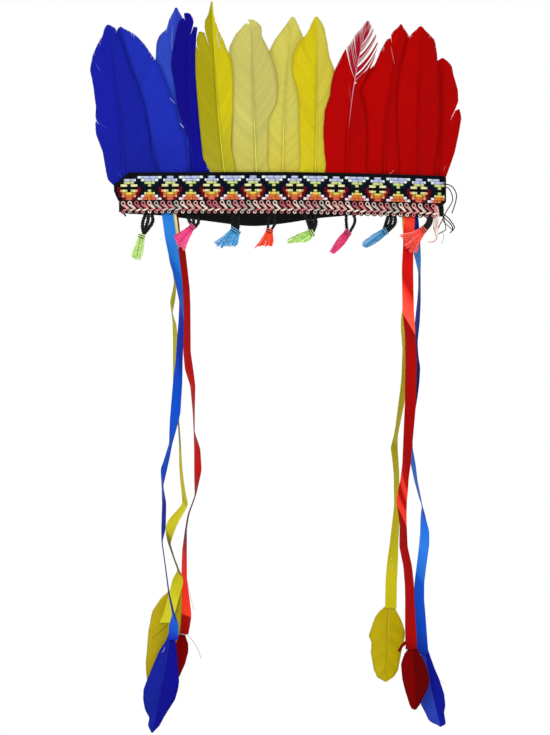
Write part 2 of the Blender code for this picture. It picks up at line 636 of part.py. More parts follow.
def end_feather(spec, parts, cutters):
    name, ribbon_name, step, lap, width, height, quill, rows = spec
    carrier = next(r for r in RIBBONS if r[0] == ribbon_name)
    end = ribbon_centre(carrier, 1.0)[0]
    twist = ribbon_centre(carrier, 1.0 - (lap * MM + END_QUILL_RISE) / (carrier[5] * MM))[1]
    middle = end.x + step * MM
    top = end.z + lap * MM
    rest = end.y + RIBBON_THICK / 2 + GAP + END_QUILL + RIBBON_WIDTH / 2 * math.sin(twist)

    def vane(drop, across):
        off = across - three_point(quill, drop) / 100
        return Vector((
            middle + across * width * MM,
            rest + END_CAMBER * (2 * off) ** 2 * min(1.0, 3 * drop),
            top - drop * height * MM,
        ))

    def place(column, row):
        drop, left, right = rows[len(rows) - 1 - row]
        return vane(drop / 100, (left + (right - left) * column / 3) / 100)

    obj = mapped_grid(name, 3, len(rows) - 1, place)
    solidify(obj, END_VANE, 0.0)
    drops = [row[0] / 100 for row in rows[1::2] if row[0] < 90]
    points = [vane(drop, three_point(quill, drop) / 100) for drop in drops]
    first = vane(0.0, three_point(quill, 0.0) / 100)
    points.insert(0, first + Vector((0.0, 0.0, END_QUILL_RISE)))
    radii = [END_QUILL] + [END_QUILL + (QUILL_TIP - END_QUILL) * drop for drop in drops]
    shaft = as_guide(swept_tube(name + "_shaft", points, radii, 1), cutters)
    join = obj.modifiers.new("Shaft", "BOOLEAN")
    join.operation = "UNION"
    join.solver = "EXACT"
    join.object = shaft
    colour = BLUE if "blue" in name else YELLOW if "yellow" in name else RED
    return finish_piece(obj, colour, 0.7, parts)


def tassel_head(spec):
    """Centre of a tassel's head, under the edge of the band."""
    name, hang, step, fall, skirt, drop, width, ahead = spec
    point = bowed(hang * MM, LAYER_FIRST + LAYER_PITCH)
    point.x += step * MM
    point.z = -fall * MM
    point.y -= TASSEL_FORWARD + ahead * MM
    return point


def tassel_cord(spec, parts):
    """The black loop that a tassel hangs on: two strands side by side that turn at its head."""
    name, hang = spec[:2]
    top = bowed(hang * MM, FELT_DEPTH - GAP - CORD_RADIUS)
    head = tassel_head(spec)
    head.z += HEAD_RADIUS + GAP + CORD_RADIUS
    drops = (0.0, 0.5, 0.85)
    points = []
    for t in drops:
        point = top.lerp(head, t)
        point.y = top.y + (head.y - top.y) * t ** 2
        point.z = CORD_EDGE + (head.z - CORD_EDGE) * t
        points.append(point)
    first = top.copy()
    first.z = CORD_TUCK + CORD_EDGE + GIMP_SCALLOP
    points.insert(0, first)
    side = Vector((CORD_PAIR, 0.0, 0.0))
    line = [p - side for p in points] + [head] + [p + side for p in reversed(points)]
    obj = swept_tube(name + "_cord", line, [CORD_RADIUS] * len(line), 1)
    return finish_piece(obj, BLACK, 0.85, parts)


def cone_between(name, start, end, radius_start, radius_end, sides):
    mesh = bpy.data.meshes.new(name)
    work = bmesh.new()
    along = end - start
    bmesh.ops.create_cone(
        work, cap_ends=True, segments=sides, radius1=radius_start, radius2=radius_end, depth=along.length,
    )
    turn = along.to_track_quat("Z", "Y").to_matrix().to_4x4()
    turn.translation = (start + end) / 2
    bmesh.ops.transform(work, matrix=turn, verts=work.verts)
    work.to_mesh(mesh)
    work.free()
    return bpy.data.objects.new(name, mesh)


def tassel_skirt(spec, colour, parts, cutters):
    """The head of a tassel with its strands in locks that fan out to the cut end."""
    name, hang, step, fall, skirt, drop, width, ahead = spec
    head = tassel_head(spec)
    mesh = bpy.data.meshes.new(name)
    work = bmesh.new()
    bmesh.ops.create_uvsphere(work, u_segments=8, v_segments=5, radius=HEAD_RADIUS)
    for corner in work.verts:
        corner.co += head
    work.to_mesh(mesh)
    work.free()
    obj = bpy.data.objects.new(name + "_skirt", mesh)
    along = Vector((skirt * MM, 0.0, -drop * MM))
    side = Vector((-along.z, 0.0, along.x)).normalized() * (width * MM / 2)
    for i in range(LOCKS):
        t = 2 * i / (LOCKS - 1) - 1
        lift = -0.6 * MM if i % 2 else 0.6 * MM
        start = head + along * 0.04 + side.normalized() * (t * HEAD_RADIUS * 0.45)
        reach = 1.0 - 0.10 * t * t - (0.05 if i % 2 else 0.0)
        end = head + along * reach + side * t + Vector((0.0, lift - SKIRT_FORWARD, 0.0))
        lock = cone_between(f"{name}_lock_{i}", start, end, LOCK_NECK, LOCK_RADIUS, 5)
        as_guide(lock, cutters)
        join = obj.modifiers.new(f"Lock {i}", "BOOLEAN")
        join.operation = "UNION"
        join.solver = "EXACT"
        join.object = lock
    return finish_piece(obj, colour, 0.8, parts)


def main():
    parts, cutters = start_scene()
    band_plate("woven_trim", TRIM_ENDS, 24, TRIM_FOOT, TRIM_HEIGHT, 0.0, TRIM_THICK, (0.05, 0.05, 0.06), 0.85, parts)
    band_plate(
        "felt_backing", FELT_ENDS, 24, FELT_FOOT, FELT_HEAD - FELT_FOOT, FELT_DEPTH, FELT_THICK, BLACK, 0.95, parts
    )
    gimp(parts)
    back_strap(parts)
    for spec in BAND_FEATHERS:
        band_feather(spec, parts, cutters)
    for spec, colour in zip(RIBBONS, (SATIN_BLUE, SATIN_YELLOW, SATIN_RED, SATIN_RED, SATIN_YELLOW, SATIN_BLUE)):
        ribbon(spec, colour, parts)
    for spec in END_FEATHERS:
        end_feather(spec, parts, cutters)
    for spec, colour in zip(TASSELS, TASSEL_COLOURS):
        tassel_cord(spec, parts)
        tassel_skirt(spec, colour, parts, cutters)
    bpy.context.view_layer.update()


main()
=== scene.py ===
"""Feathered headdress: surfaces, materials, light and camera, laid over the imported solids."""

import math

import bmesh
import bpy
import numpy as np
from bpy.props import FloatProperty, FloatVectorProperty, IntProperty, PointerProperty
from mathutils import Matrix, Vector


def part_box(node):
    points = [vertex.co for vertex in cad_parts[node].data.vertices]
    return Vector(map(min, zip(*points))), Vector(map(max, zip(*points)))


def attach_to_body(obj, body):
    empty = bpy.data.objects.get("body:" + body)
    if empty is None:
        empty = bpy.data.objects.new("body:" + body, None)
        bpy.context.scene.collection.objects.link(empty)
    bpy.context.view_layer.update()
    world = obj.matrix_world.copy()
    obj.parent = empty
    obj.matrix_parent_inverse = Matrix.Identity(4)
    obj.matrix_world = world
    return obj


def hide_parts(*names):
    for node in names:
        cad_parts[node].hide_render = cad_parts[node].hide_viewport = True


bl_info = {
    "name": "Feathered headdress",
    "version": (1, 0, 0),
    "blender": (4, 5, 0),
    "location": "3D View > Sidebar > Headdress",
    "description": "Builds the feathers, woven band, tassels and ribbons of a feathered headdress",
    "category": "Add Mesh",
}

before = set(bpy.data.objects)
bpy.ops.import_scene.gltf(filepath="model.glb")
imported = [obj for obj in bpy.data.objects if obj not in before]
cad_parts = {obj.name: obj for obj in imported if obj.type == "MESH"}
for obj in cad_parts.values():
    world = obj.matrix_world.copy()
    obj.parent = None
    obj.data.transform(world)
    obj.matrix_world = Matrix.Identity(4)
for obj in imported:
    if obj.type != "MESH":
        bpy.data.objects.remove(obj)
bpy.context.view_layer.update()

MM = 0.001
GAP = 0.3 * MM
FRONT = np.array([0.0, -1.0, 0.0])

# The bow of the band, the depths of its layers and the lean of its feathers, as the solids have them
BAND_HALF = 145.0 * MM
BAND_BOW = 17.2 * MM
BAND_RADIUS = (BAND_HALF ** 2 + BAND_BOW ** 2) / (2 * BAND_BOW)
BAND_SINK = 2.8 * MM
GIMP_TILT = 1.2 * MM
TRIM_THICK = 1.2 * MM
QUILL_RADIUS = 0.6 * MM
LAYER_PITCH = 1.4 * MM
FELT_THICK = 1.5 * MM
LAYER_FIRST = TRIM_THICK + GAP + QUILL_RADIUS
FELT_DEPTH = LAYER_FIRST + 2 * LAYER_PITCH + QUILL_RADIUS + GAP
HEAD_ROOM = 33.0 * MM
BAND_FRONT = HEAD_ROOM + FELT_DEPTH + FELT_THICK
TRIM_FOOT = 11.3 * MM
TRIM_HEIGHT = 23.5 * MM
TRIM_SELVEDGE = 1.6 * MM
STRAP_SAG = 10.8 * MM
FELT_HEAD = 34.0 * MM
QUILL_FOOT = 9.6 * MM
LEAN = 6.0 * MM
LEAN_STEP = 4.0 * MM
CAMBER = 2.0 * MM
TIP_RISE = 190.0 * MM
BRAID_LEFT = -0.962 * BAND_HALF
BRAID_RIGHT = 0.958 * BAND_HALF

# Where the ribbons and tassels hang, and the floor below them
RIBBON_TOP = 1.7 * MM
RIBBON_TUCK = 4.0 * MM
RIBBON_SWAY = 10.0 * MM
SPREAD_RUN = 50.0 * MM
FRONT_START = 42.0 * MM
LEFT_HANG = -94.0 * MM
RIGHT_HANG = 113.1 * MM
BACK_START = 2.5 * MM
TASSEL_FORWARD = 3.0 * MM
SKIRT_FORWARD = 2.5 * MM
FLOOR = -520.0 * MM


# ---------------------------------------------------------------- colours and materials

def linear(code):
    """A #rrggbb colour as linear light."""
    parts = [int(code[i:i + 2], 16) / 255 for i in (1, 3, 5)]
    return np.array([c / 12.92 if c <= 0.04045 else ((c + 0.055) / 1.055) ** 2.4 for c in parts])


DYES = {"blue": "#1a28ac", "yellow": "#d0c440", "red": "#ba0000"}


def dye_of(name):
    """Which of the dyes a feather or ribbon has, from the start of its name."""
    return name.split("_")[0]


def dye_change(settings, name):
    """What a chosen dye does to the tints of a feather or ribbon; 1 for the usual dye."""
    chosen = np.array(getattr(settings, dye_of(name) + "_dye"))
    return (chosen + 0.02) / (linear(DYES[dye_of(name)]) + 0.02)


def add_node(tree, kind, values=None, **settings):
    """A new node with its settings; values fills its inputs with constants or links."""
    made = tree.nodes.new(kind)
    for name, value in settings.items():
        setattr(made, name, value)
    for name, value in (values or {}).items():
        if isinstance(value, bpy.types.NodeSocket):
            tree.links.new(value, made.inputs[name])
        else:
            made.inputs[name].default_value = value
    return made


def each(size):
    """Noise scale for one clump in so many mm."""
    return 1 / (size * MM)


def bands(size):
    """Wave scale for one band in so many mm."""
    return math.pi / (10 * size * MM)


# Sizes of the surface patterns in mm: clumps of barbules, unevenness and picks of the satin, clumps of felt fibre,
# ribs and small steps of the elastic, fibre clumps of the four yarns
BARBULE_CLUMP = 1.1111
SATIN_UNEVEN = 1.4286
SATIN_PICK = 0.20944
FELT_CLUMP = 0.7143
ELASTIC_RIB = 1.65347
ELASTIC_STEP = 0.9091
FLOAT_FIBRE = 0.66667
EDGE_FIBRE = 0.76923
COTTON_FIBRE = 0.83333
CORD_FIBRE = 0.90909


def new_material(name):
    """An empty material that uses nodes, and its tree."""
    material = bpy.data.materials.new(name)
    material.use_nodes = True
    material.node_tree.nodes.clear()
    return material, material.node_tree


def tinted_colour(tree, clump, amount):
    """The piece's own tint attribute, a little uneven from clumps of so many mm."""
    tint = add_node(tree, "ShaderNodeAttribute", attribute_name="tint", attribute_type="GEOMETRY")
    place = add_node(tree, "ShaderNodeTexCoord")
    noise = add_node(tree, "ShaderNodeTexNoise", {
        "Vector": place.outputs["Object"], "Scale": each(clump), "Detail": 3.0,
    })
    level = add_node(tree, "ShaderNodeMapRange", {
        "Value": noise.outputs["Fac"], "From Min": 0.25, "From Max": 0.75, "To Min": 1 - amount, "To Max": 1 + amount,
    })
    mixed = add_node(tree, "ShaderNodeVectorMath", {0: tint.outputs["Color"]}, operation="SCALE")
    tree.links.new(level.outputs["Result"], mixed.inputs["Scale"])
    return mixed.outputs["Vector"], place, noise


def feather_material():
    """Dyed feather: flat, saturated colour with no gloss, and edges that glow a little where light comes through."""
    material, tree = new_material("Dyed feather barbs, matte keratin with light through them")
    # a barb's own hooks are too fine to show, so their clumps stand for them
    colour, _, noise = tinted_colour(tree, BARBULE_CLUMP, 0.05)
    bump = add_node(tree, "ShaderNodeBump", {"Height": noise.outputs["Fac"], "Strength": 0.12, "Distance": 0.2 * MM})
    skin = add_node(tree, "ShaderNodeBsdfPrincipled", {
        "Base Color": colour, "Roughness": 0.75, "Specular IOR Level": 0.06, "Normal": bump.outputs["Normal"],
    })
    through = add_node(tree, "ShaderNodeBsdfTranslucent", {"Color": colour})
    both = add_node(tree, "ShaderNodeMixShader", {0: 0.18, 1: skin.outputs[0], 2: through.outputs[0]})
    add_node(tree, "ShaderNodeOutputMaterial", {"Surface": both.outputs[0]})
    return material


def yarn_material(name, fibre, rough, sheen, gloss):
    """Spun yarn: fine slanting plies break each thread's highlight, and uneven dye makes neighbours differ."""
    material, tree = new_material(name)
    colour, place, noise = tinted_colour(tree, fibre, 0.16)
    # plies about 0.9 of a fibre clump apart, coarser than real ones so that they show
    plies = add_node(tree, "ShaderNodeTexWave", {
        "Vector": place.outputs["Object"], "Scale": bands(0.8976 * fibre), "Distortion": 2.0, "Detail": 1.0,
    }, bands_direction="DIAGONAL")
    both = add_node(tree, "ShaderNodeMath", {0: plies.outputs["Fac"], 1: noise.outputs["Fac"]}, operation="ADD")
    bump = add_node(tree, "ShaderNodeBump", {"Height": both.outputs[0], "Strength": 0.5, "Distance": 0.2 * MM})
    shader = add_node(tree, "ShaderNodeBsdfPrincipled", {
        "Base Color": colour, "Roughness": rough, "Specular IOR Level": gloss, "Sheen Weight": sheen,
        "Sheen Roughness": 0.4, "Normal": bump.outputs["Normal"],
    })
    add_node(tree, "ShaderNodeOutputMaterial", {"Surface": shader.outputs[0]})
    return material


def satin_material():
    """Satin: long floats draw the sheen out along the ribbon, fine picks keep it from looking like plastic."""
    material, tree = new_material("Satin ribbon, warp-faced polyester")
    colour, _, _ = tinted_colour(tree, SATIN_UNEVEN, 0.05)
    lie = add_node(tree, "ShaderNodeUVMap", uv_map="UVMap")
    picks = add_node(tree, "ShaderNodeTexWave", {
        "Vector": lie.outputs["UV"], "Scale": bands(SATIN_PICK), "Distortion": 0.6,
    }, bands_direction="X")
    bump = add_node(tree, "ShaderNodeBump", {"Height": picks.outputs["Fac"], "Strength": 0.12, "Distance": 0.08 * MM})
    grain = add_node(tree, "ShaderNodeTangent", direction_type="UV_MAP", uv_map="UVMap")
    shader = add_node(tree, "ShaderNodeBsdfPrincipled", {
        "Base Color": colour, "Roughness": 0.4, "Specular IOR Level": 0.05, "Anisotropic": 0.65,
        "Anisotropic Rotation": 0.25, "Normal": bump.outputs["Normal"], "Tangent": grain.outputs["Tangent"],
    })
    add_node(tree, "ShaderNodeOutputMaterial", {"Surface": shader.outputs[0]})
    return material


def black_material(name, pattern, low, high, depth, finish):
    """A matte black that varies a little with a pattern and is raised by it; finish holds the shader's values."""
    material, tree = new_material(name)
    height = pattern(tree, add_node(tree, "ShaderNodeTexCoord").outputs["Object"])
    # the colour follows the pattern's height, lighter where raised: random tone on the felt, a painted highlight on the
    # elastic's ribs
    shade = add_node(tree, "ShaderNodeMapRange", {
        "Value": height, "From Min": low[0], "From Max": high[0], "To Min": low[1], "To Max": high[1],
    })
    colour = add_node(tree, "ShaderNodeCombineColor", {
        "Red": shade.outputs[0], "Green": shade.outputs[0], "Blue": shade.outputs[0],
    })
    bump = add_node(tree, "ShaderNodeBump", {"Height": height, "Strength": depth[0], "Distance": depth[1]})
    shader = add_node(tree, "ShaderNodeBsdfPrincipled", {
        "Base Color": colour.outputs[0], "Normal": bump.outputs["Normal"], **finish,
    })
    add_node(tree, "ShaderNodeOutputMaterial", {"Surface": shader.outputs[0]})
    return material


def felt_material():
    """Pressed felt: matted fibres swallow the light, so it reads as a soft, even black."""
    def fibres(tree, place):
        return add_node(tree, "ShaderNodeTexNoise", {
            "Vector": place, "Scale": each(FELT_CLUMP), "Detail": 4.0, "Distortion": 1.5,
        }).outputs["Fac"]

    return black_material("Black pressed felt", fibres, (0.3, 0.004), (0.75, 0.014), (0.7, 0.3 * MM),
                          {"Roughness": 0.95, "Specular IOR Level": 0.1, "Sheen Weight": 0.03})


def elastic_material():
    """Woven elastic: ribs along the strap, their crests painted lighter in thin grey lines as a painted highlight; the
    rubber puckers them into small steps.
    """
    def ribs(tree, place):
        wave = add_node(tree, "ShaderNodeTexWave", {"Vector": place, "Scale": bands(ELASTIC_RIB), "Distortion": 0.3},
                        bands_direction="Z")
        steps = add_node(tree, "ShaderNodeTexNoise", {"Vector": place, "Scale": each(ELASTIC_STEP), "Detail": 2.0})
        return add_node(tree, "ShaderNodeMath", {0: wave.outputs["Fac"], 1: steps.outputs["Fac"]},
                        operation="ADD").outputs[0]

    return black_material("Black woven elastic", ribs, (0.4, 0.003), (1.6, 0.012), (0.5, 0.4 * MM),
                          {"Roughness": 0.8, "Specular IOR Level": 0.14})


# ---------------------------------------------------------------- mesh building

def strand_tree():
    """Geometry Nodes: a closed strand along each run of edges, as wide, as turned and as tinted as its points say."""
    tree = bpy.data.node_groups.new("Strands along guides", "GeometryNodeTree")
    for name, kind in (("Guides", "Geometry"), ("Sides", "Int"), ("Flatness", "Float"), ("Material", "Material")):
        tree.interface.new_socket(name=name, in_out="INPUT", socket_type="NodeSocket" + kind)
    tree.interface.new_socket(name="Strands", in_out="OUTPUT", socket_type="NodeSocketGeometry")
    entry = add_node(tree, "NodeGroupInput")
    width = add_node(tree, "GeometryNodeInputNamedAttribute", {"Name": "width"}, data_type="FLOAT")
    facing = add_node(tree, "GeometryNodeInputNamedAttribute", {"Name": "facing"}, data_type="FLOAT_VECTOR")
    lines = add_node(tree, "GeometryNodeMeshToCurve", {"Mesh": entry.outputs["Guides"]})
    turned = add_node(tree, "GeometryNodeSetCurveNormal", mode="FREE")
    tree.links.new(lines.outputs["Curve"], turned.inputs["Curve"])
    tree.links.new(facing.outputs["Attribute"], turned.inputs["Normal"])
    ring = add_node(tree, "GeometryNodeCurvePrimitiveCircle", {"Resolution": entry.outputs["Sides"], "Radius": 0.5})
    depth = add_node(tree, "ShaderNodeCombineXYZ", {"X": entry.outputs["Flatness"], "Y": 1.0, "Z": 1.0})
    outline = add_node(tree, "GeometryNodeTransform", {
        "Geometry": ring.outputs["Curve"], "Scale": depth.outputs["Vector"],
    })
    skin = add_node(tree, "GeometryNodeCurveToMesh", {
        "Curve": turned.outputs["Curve"], "Profile Curve": outline.outputs["Geometry"],
        "Scale": width.outputs["Attribute"], "Fill Caps": True,
    })
    real = add_node(tree, "GeometryNodeRealizeInstances", {"Geometry": skin.outputs["Mesh"]})
    painted = add_node(tree, "GeometryNodeSetMaterial", {
        "Geometry": real.outputs["Geometry"], "Material": entry.outputs["Material"],
    })
    add_node(tree, "NodeGroupOutput", {"Strands": painted.outputs["Geometry"]})
    return tree


def unit(vectors):
    """The same directions at length one."""
    return vectors / np.maximum(np.linalg.norm(vectors, axis=-1, keepdims=True), 1e-9)


def travelled(points):
    """How far along a run of points each of them lies."""
    return np.concatenate([[0], np.cumsum(np.linalg.norm(np.diff(points, axis=0), axis=1))])


def smoothed(line, sigma, reach):
    """A row of values with a bell curve of this width run over it."""
    kernel = np.exp(-0.5 * (np.arange(-reach, reach + 1) / sigma) ** 2)
    padded = np.concatenate([np.full(reach, line[0]), line, np.full(reach, line[-1])])
    return np.convolve(padded, kernel / kernel.sum(), "valid")


def fill(mesh, name, kind, values):
    """Write one attribute of a mesh's points."""
    layer = mesh.attributes.new(name, kind, "POINT")
    key = {"FLOAT": "value", "FLOAT_VECTOR": "vector", "FLOAT_COLOR": "color"}[kind]
    layer.data.foreach_set(key, np.ascontiguousarray(values, np.float32).ravel())


def strands(paths, facing, width, flatness, tint, sides, material):
    """One part of a piece: closed strands along paths (m, n, 3), their flat side turned to facing."""
    paths = np.asarray(paths, float)
    m, n, _ = paths.shape
    along = unit(np.gradient(paths, axis=1))
    facing = np.broadcast_to(np.asarray(facing, float), paths.shape)
    facing = unit(facing - along * (facing * along).sum(2, keepdims=True))
    index = np.arange(m * n).reshape(m, n)
    edges = np.stack([index[:, :-1], index[:, 1:]], -1).reshape(-1, 2).astype(np.int32)
    guides = bpy.data.meshes.new("Guides")
    guides.vertices.add(m * n)
    guides.vertices.foreach_set("co", paths.astype(np.float32).ravel())
    guides.edges.add(len(edges))
    guides.edges.foreach_set("vertices", edges.ravel())
    fill(guides, "facing", "FLOAT_VECTOR", facing)
    fill(guides, "width", "FLOAT", np.broadcast_to(np.asarray(width, float), (m, n)))
    colour = np.broadcast_to(np.asarray(tint, float), (m, n, 3)).reshape(-1, 3)
    fill(guides, "tint", "FLOAT_COLOR", np.column_stack([np.clip(colour, 0, 1), np.ones(m * n)]))
    obj = bpy.data.objects.new("Guides", guides)
    bpy.context.scene.collection.objects.link(obj)
    tree = bpy.data.node_groups.get("Strands along guides") or strand_tree()
    maker = obj.modifiers.new("Strands", "NODES")
    maker.node_group = tree
    socket = {item.name: item.identifier for item in tree.interface.items_tree if item.in_out == "INPUT"}
    maker[socket["Sides"]] = sides
    maker[socket["Flatness"]] = float(flatness)
    maker[socket["Material"]] = material
    mesh = bpy.data.meshes.new_from_object(obj.evaluated_get(bpy.context.evaluated_depsgraph_get()))
    part = read_part(mesh)
    bpy.data.objects.remove(obj, do_unlink=True)
    bpy.data.meshes.remove(guides)
    bpy.data.meshes.remove(mesh)
    return part


def read_part(mesh):
    """The corners, face loops, face sizes and tints of a mesh."""
    corners = np.empty(3 * len(mesh.vertices), np.float32)
    mesh.vertices.foreach_get("co", corners)
    loops = np.empty(len(mesh.loops), np.int32)
    mesh.loops.foreach_get("vertex_index", loops)
    totals = np.empty(len(mesh.polygons), np.int32)
    mesh.polygons.foreach_get("loop_total", totals)
    tint = np.ones(4 * len(mesh.vertices), np.float32)
    mesh.attributes["tint"].data.foreach_get("color", tint)
    return corners.reshape(-1, 3), loops, totals, tint.reshape(-1, 4)[:, :3]


def make_piece(name, parts, material, nodes):
    """One mesh from its parts; it stands for the named solids."""
    loops = []
    base = 0
    for corners, part_loops, totals, tint in parts:
        loops.append(np.asarray(part_loops) + base)
        base += len(corners)
    if not base:
        raise RuntimeError(f"{name} came out empty")
    loops = np.concatenate(loops).astype(np.int32)
    totals = np.concatenate([part[2] for part in parts]).astype(np.int32)
    mesh = bpy.data.meshes.new(name)
    mesh.vertices.add(base)
    mesh.vertices.foreach_set("co", np.concatenate([part[0] for part in parts]).astype(np.float32).ravel())
    mesh.loops.add(len(loops))
    mesh.loops.foreach_set("vertex_index", loops)
    mesh.polygons.add(len(totals))
    mesh.polygons.foreach_set("loop_start", (np.cumsum(totals) - totals).astype(np.int32))
    mesh.polygons.foreach_set("use_smooth", np.ones(len(totals), bool))
    mesh.update(calc_edges=True)
    tint = np.concatenate([part[3] for part in parts])
    fill(mesh, "tint", "FLOAT_COLOR", np.column_stack([np.clip(tint, 0, 1), np.ones(base)]))
    mesh.materials.append(material)
    obj = bpy.data.objects.new(name, mesh)
    bpy.context.scene.collection.objects.link(obj)
    if nodes:
        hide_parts(*nodes)
    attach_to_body(obj, "root")
    return obj


def outward(mesh):
    """Turn the faces of a closed mesh to point out of it."""
    work = bmesh.new()
    work.from_mesh(mesh)
    bmesh.ops.recalc_face_normals(work, faces=work.faces)
    work.to_mesh(mesh)
    work.free()


def shell(front, back, tint):
    """One part of a piece: two (m, k, 3) grids of points joined round their rims into a closed wall."""
    m, k, _ = front.shape
    index = np.arange(2 * m * k).reshape(2, m, k)
    faces = []
    for number, grid in enumerate(index):
        quads = np.stack([grid[:-1, :-1], grid[1:, :-1], grid[1:, 1:], grid[:-1, 1:]], -1).reshape(-1, 4)
        faces.append(quads[:, ::-1] if number else quads)
    one, two = index
    for a, b, flip in ((one[:, 0], two[:, 0], False), (one[:, -1], two[:, -1], True), (one[0], two[0], True),
                       (one[-1], two[-1], False)):
        quads = np.stack([a[1:], a[:-1], b[:-1], b[1:]], -1)
        faces.append(quads[:, ::-1] if flip else quads)
    faces = np.concatenate(faces)
    corners = np.concatenate([front.reshape(-1, 3), back.reshape(-1, 3)])
    tint = np.broadcast_to(np.asarray(tint, float), (m, k, 3)).reshape(-1, 3)
    return corners, faces.ravel(), np.full(len(faces), 4), np.concatenate([tint, tint])


def resample(points, count):
    """A smooth run of points through a few (n, 3) points."""
    points = np.asarray(points, float)
    steps = travelled(points)
    at = np.linspace(0, steps[-1], count)
    padded = np.vstack([2 * points[0] - points[1], points, 2 * points[-1] - points[-2]])
    out = np.empty((count, 3))
    for j, s in enumerate(at):
        i = min(np.searchsorted(steps, s, side="right") - 1, len(points) - 2)
        t = (s - steps[i]) / max(steps[i + 1] - steps[i], 1e-12)
        a, b, c, d = padded[i:i + 4]
        out[j] = 0.5 * (2 * b + (c - a) * t + (2 * a - 5 * b + 4 * c - d) * t * t + (3 * b - a - 3 * c + d) * t ** 3)
    return out


def bowed_y(x, depth):
    """How far back the band lies at this x, this deep behind the front face of the trim."""
    radius = BAND_RADIUS - depth
    return -BAND_FRONT + BAND_RADIUS - radius * np.sqrt(1 - np.clip(np.asarray(x) / radius, -0.9, 0.9) ** 2)


def three_point(values, t):
    """A curve through three values, at the start, half way and the end."""
    a, b, c = values
    return a * (1 - t) * (1 - 2 * t) + b * 4 * t * (1 - t) + c * t * (2 * t - 1)


def smooth_table(rows, spread=0.008):
    """Columns of a table in hundredths as smooth functions of its first column."""
    rows = np.asarray(rows, float) / 100
    cells = 800
    grid = np.linspace(0, 1, cells + 1)
    lines = [np.interp(grid, rows[:, 0], column) for column in rows.T[1:]]
    lines = [smoothed(line, spread * cells, int(spread * cells * 3)) for line in lines]
    return lambda t: [np.interp(t, grid, line) for line in lines]


# ---------------------------------------------------------------- feathers

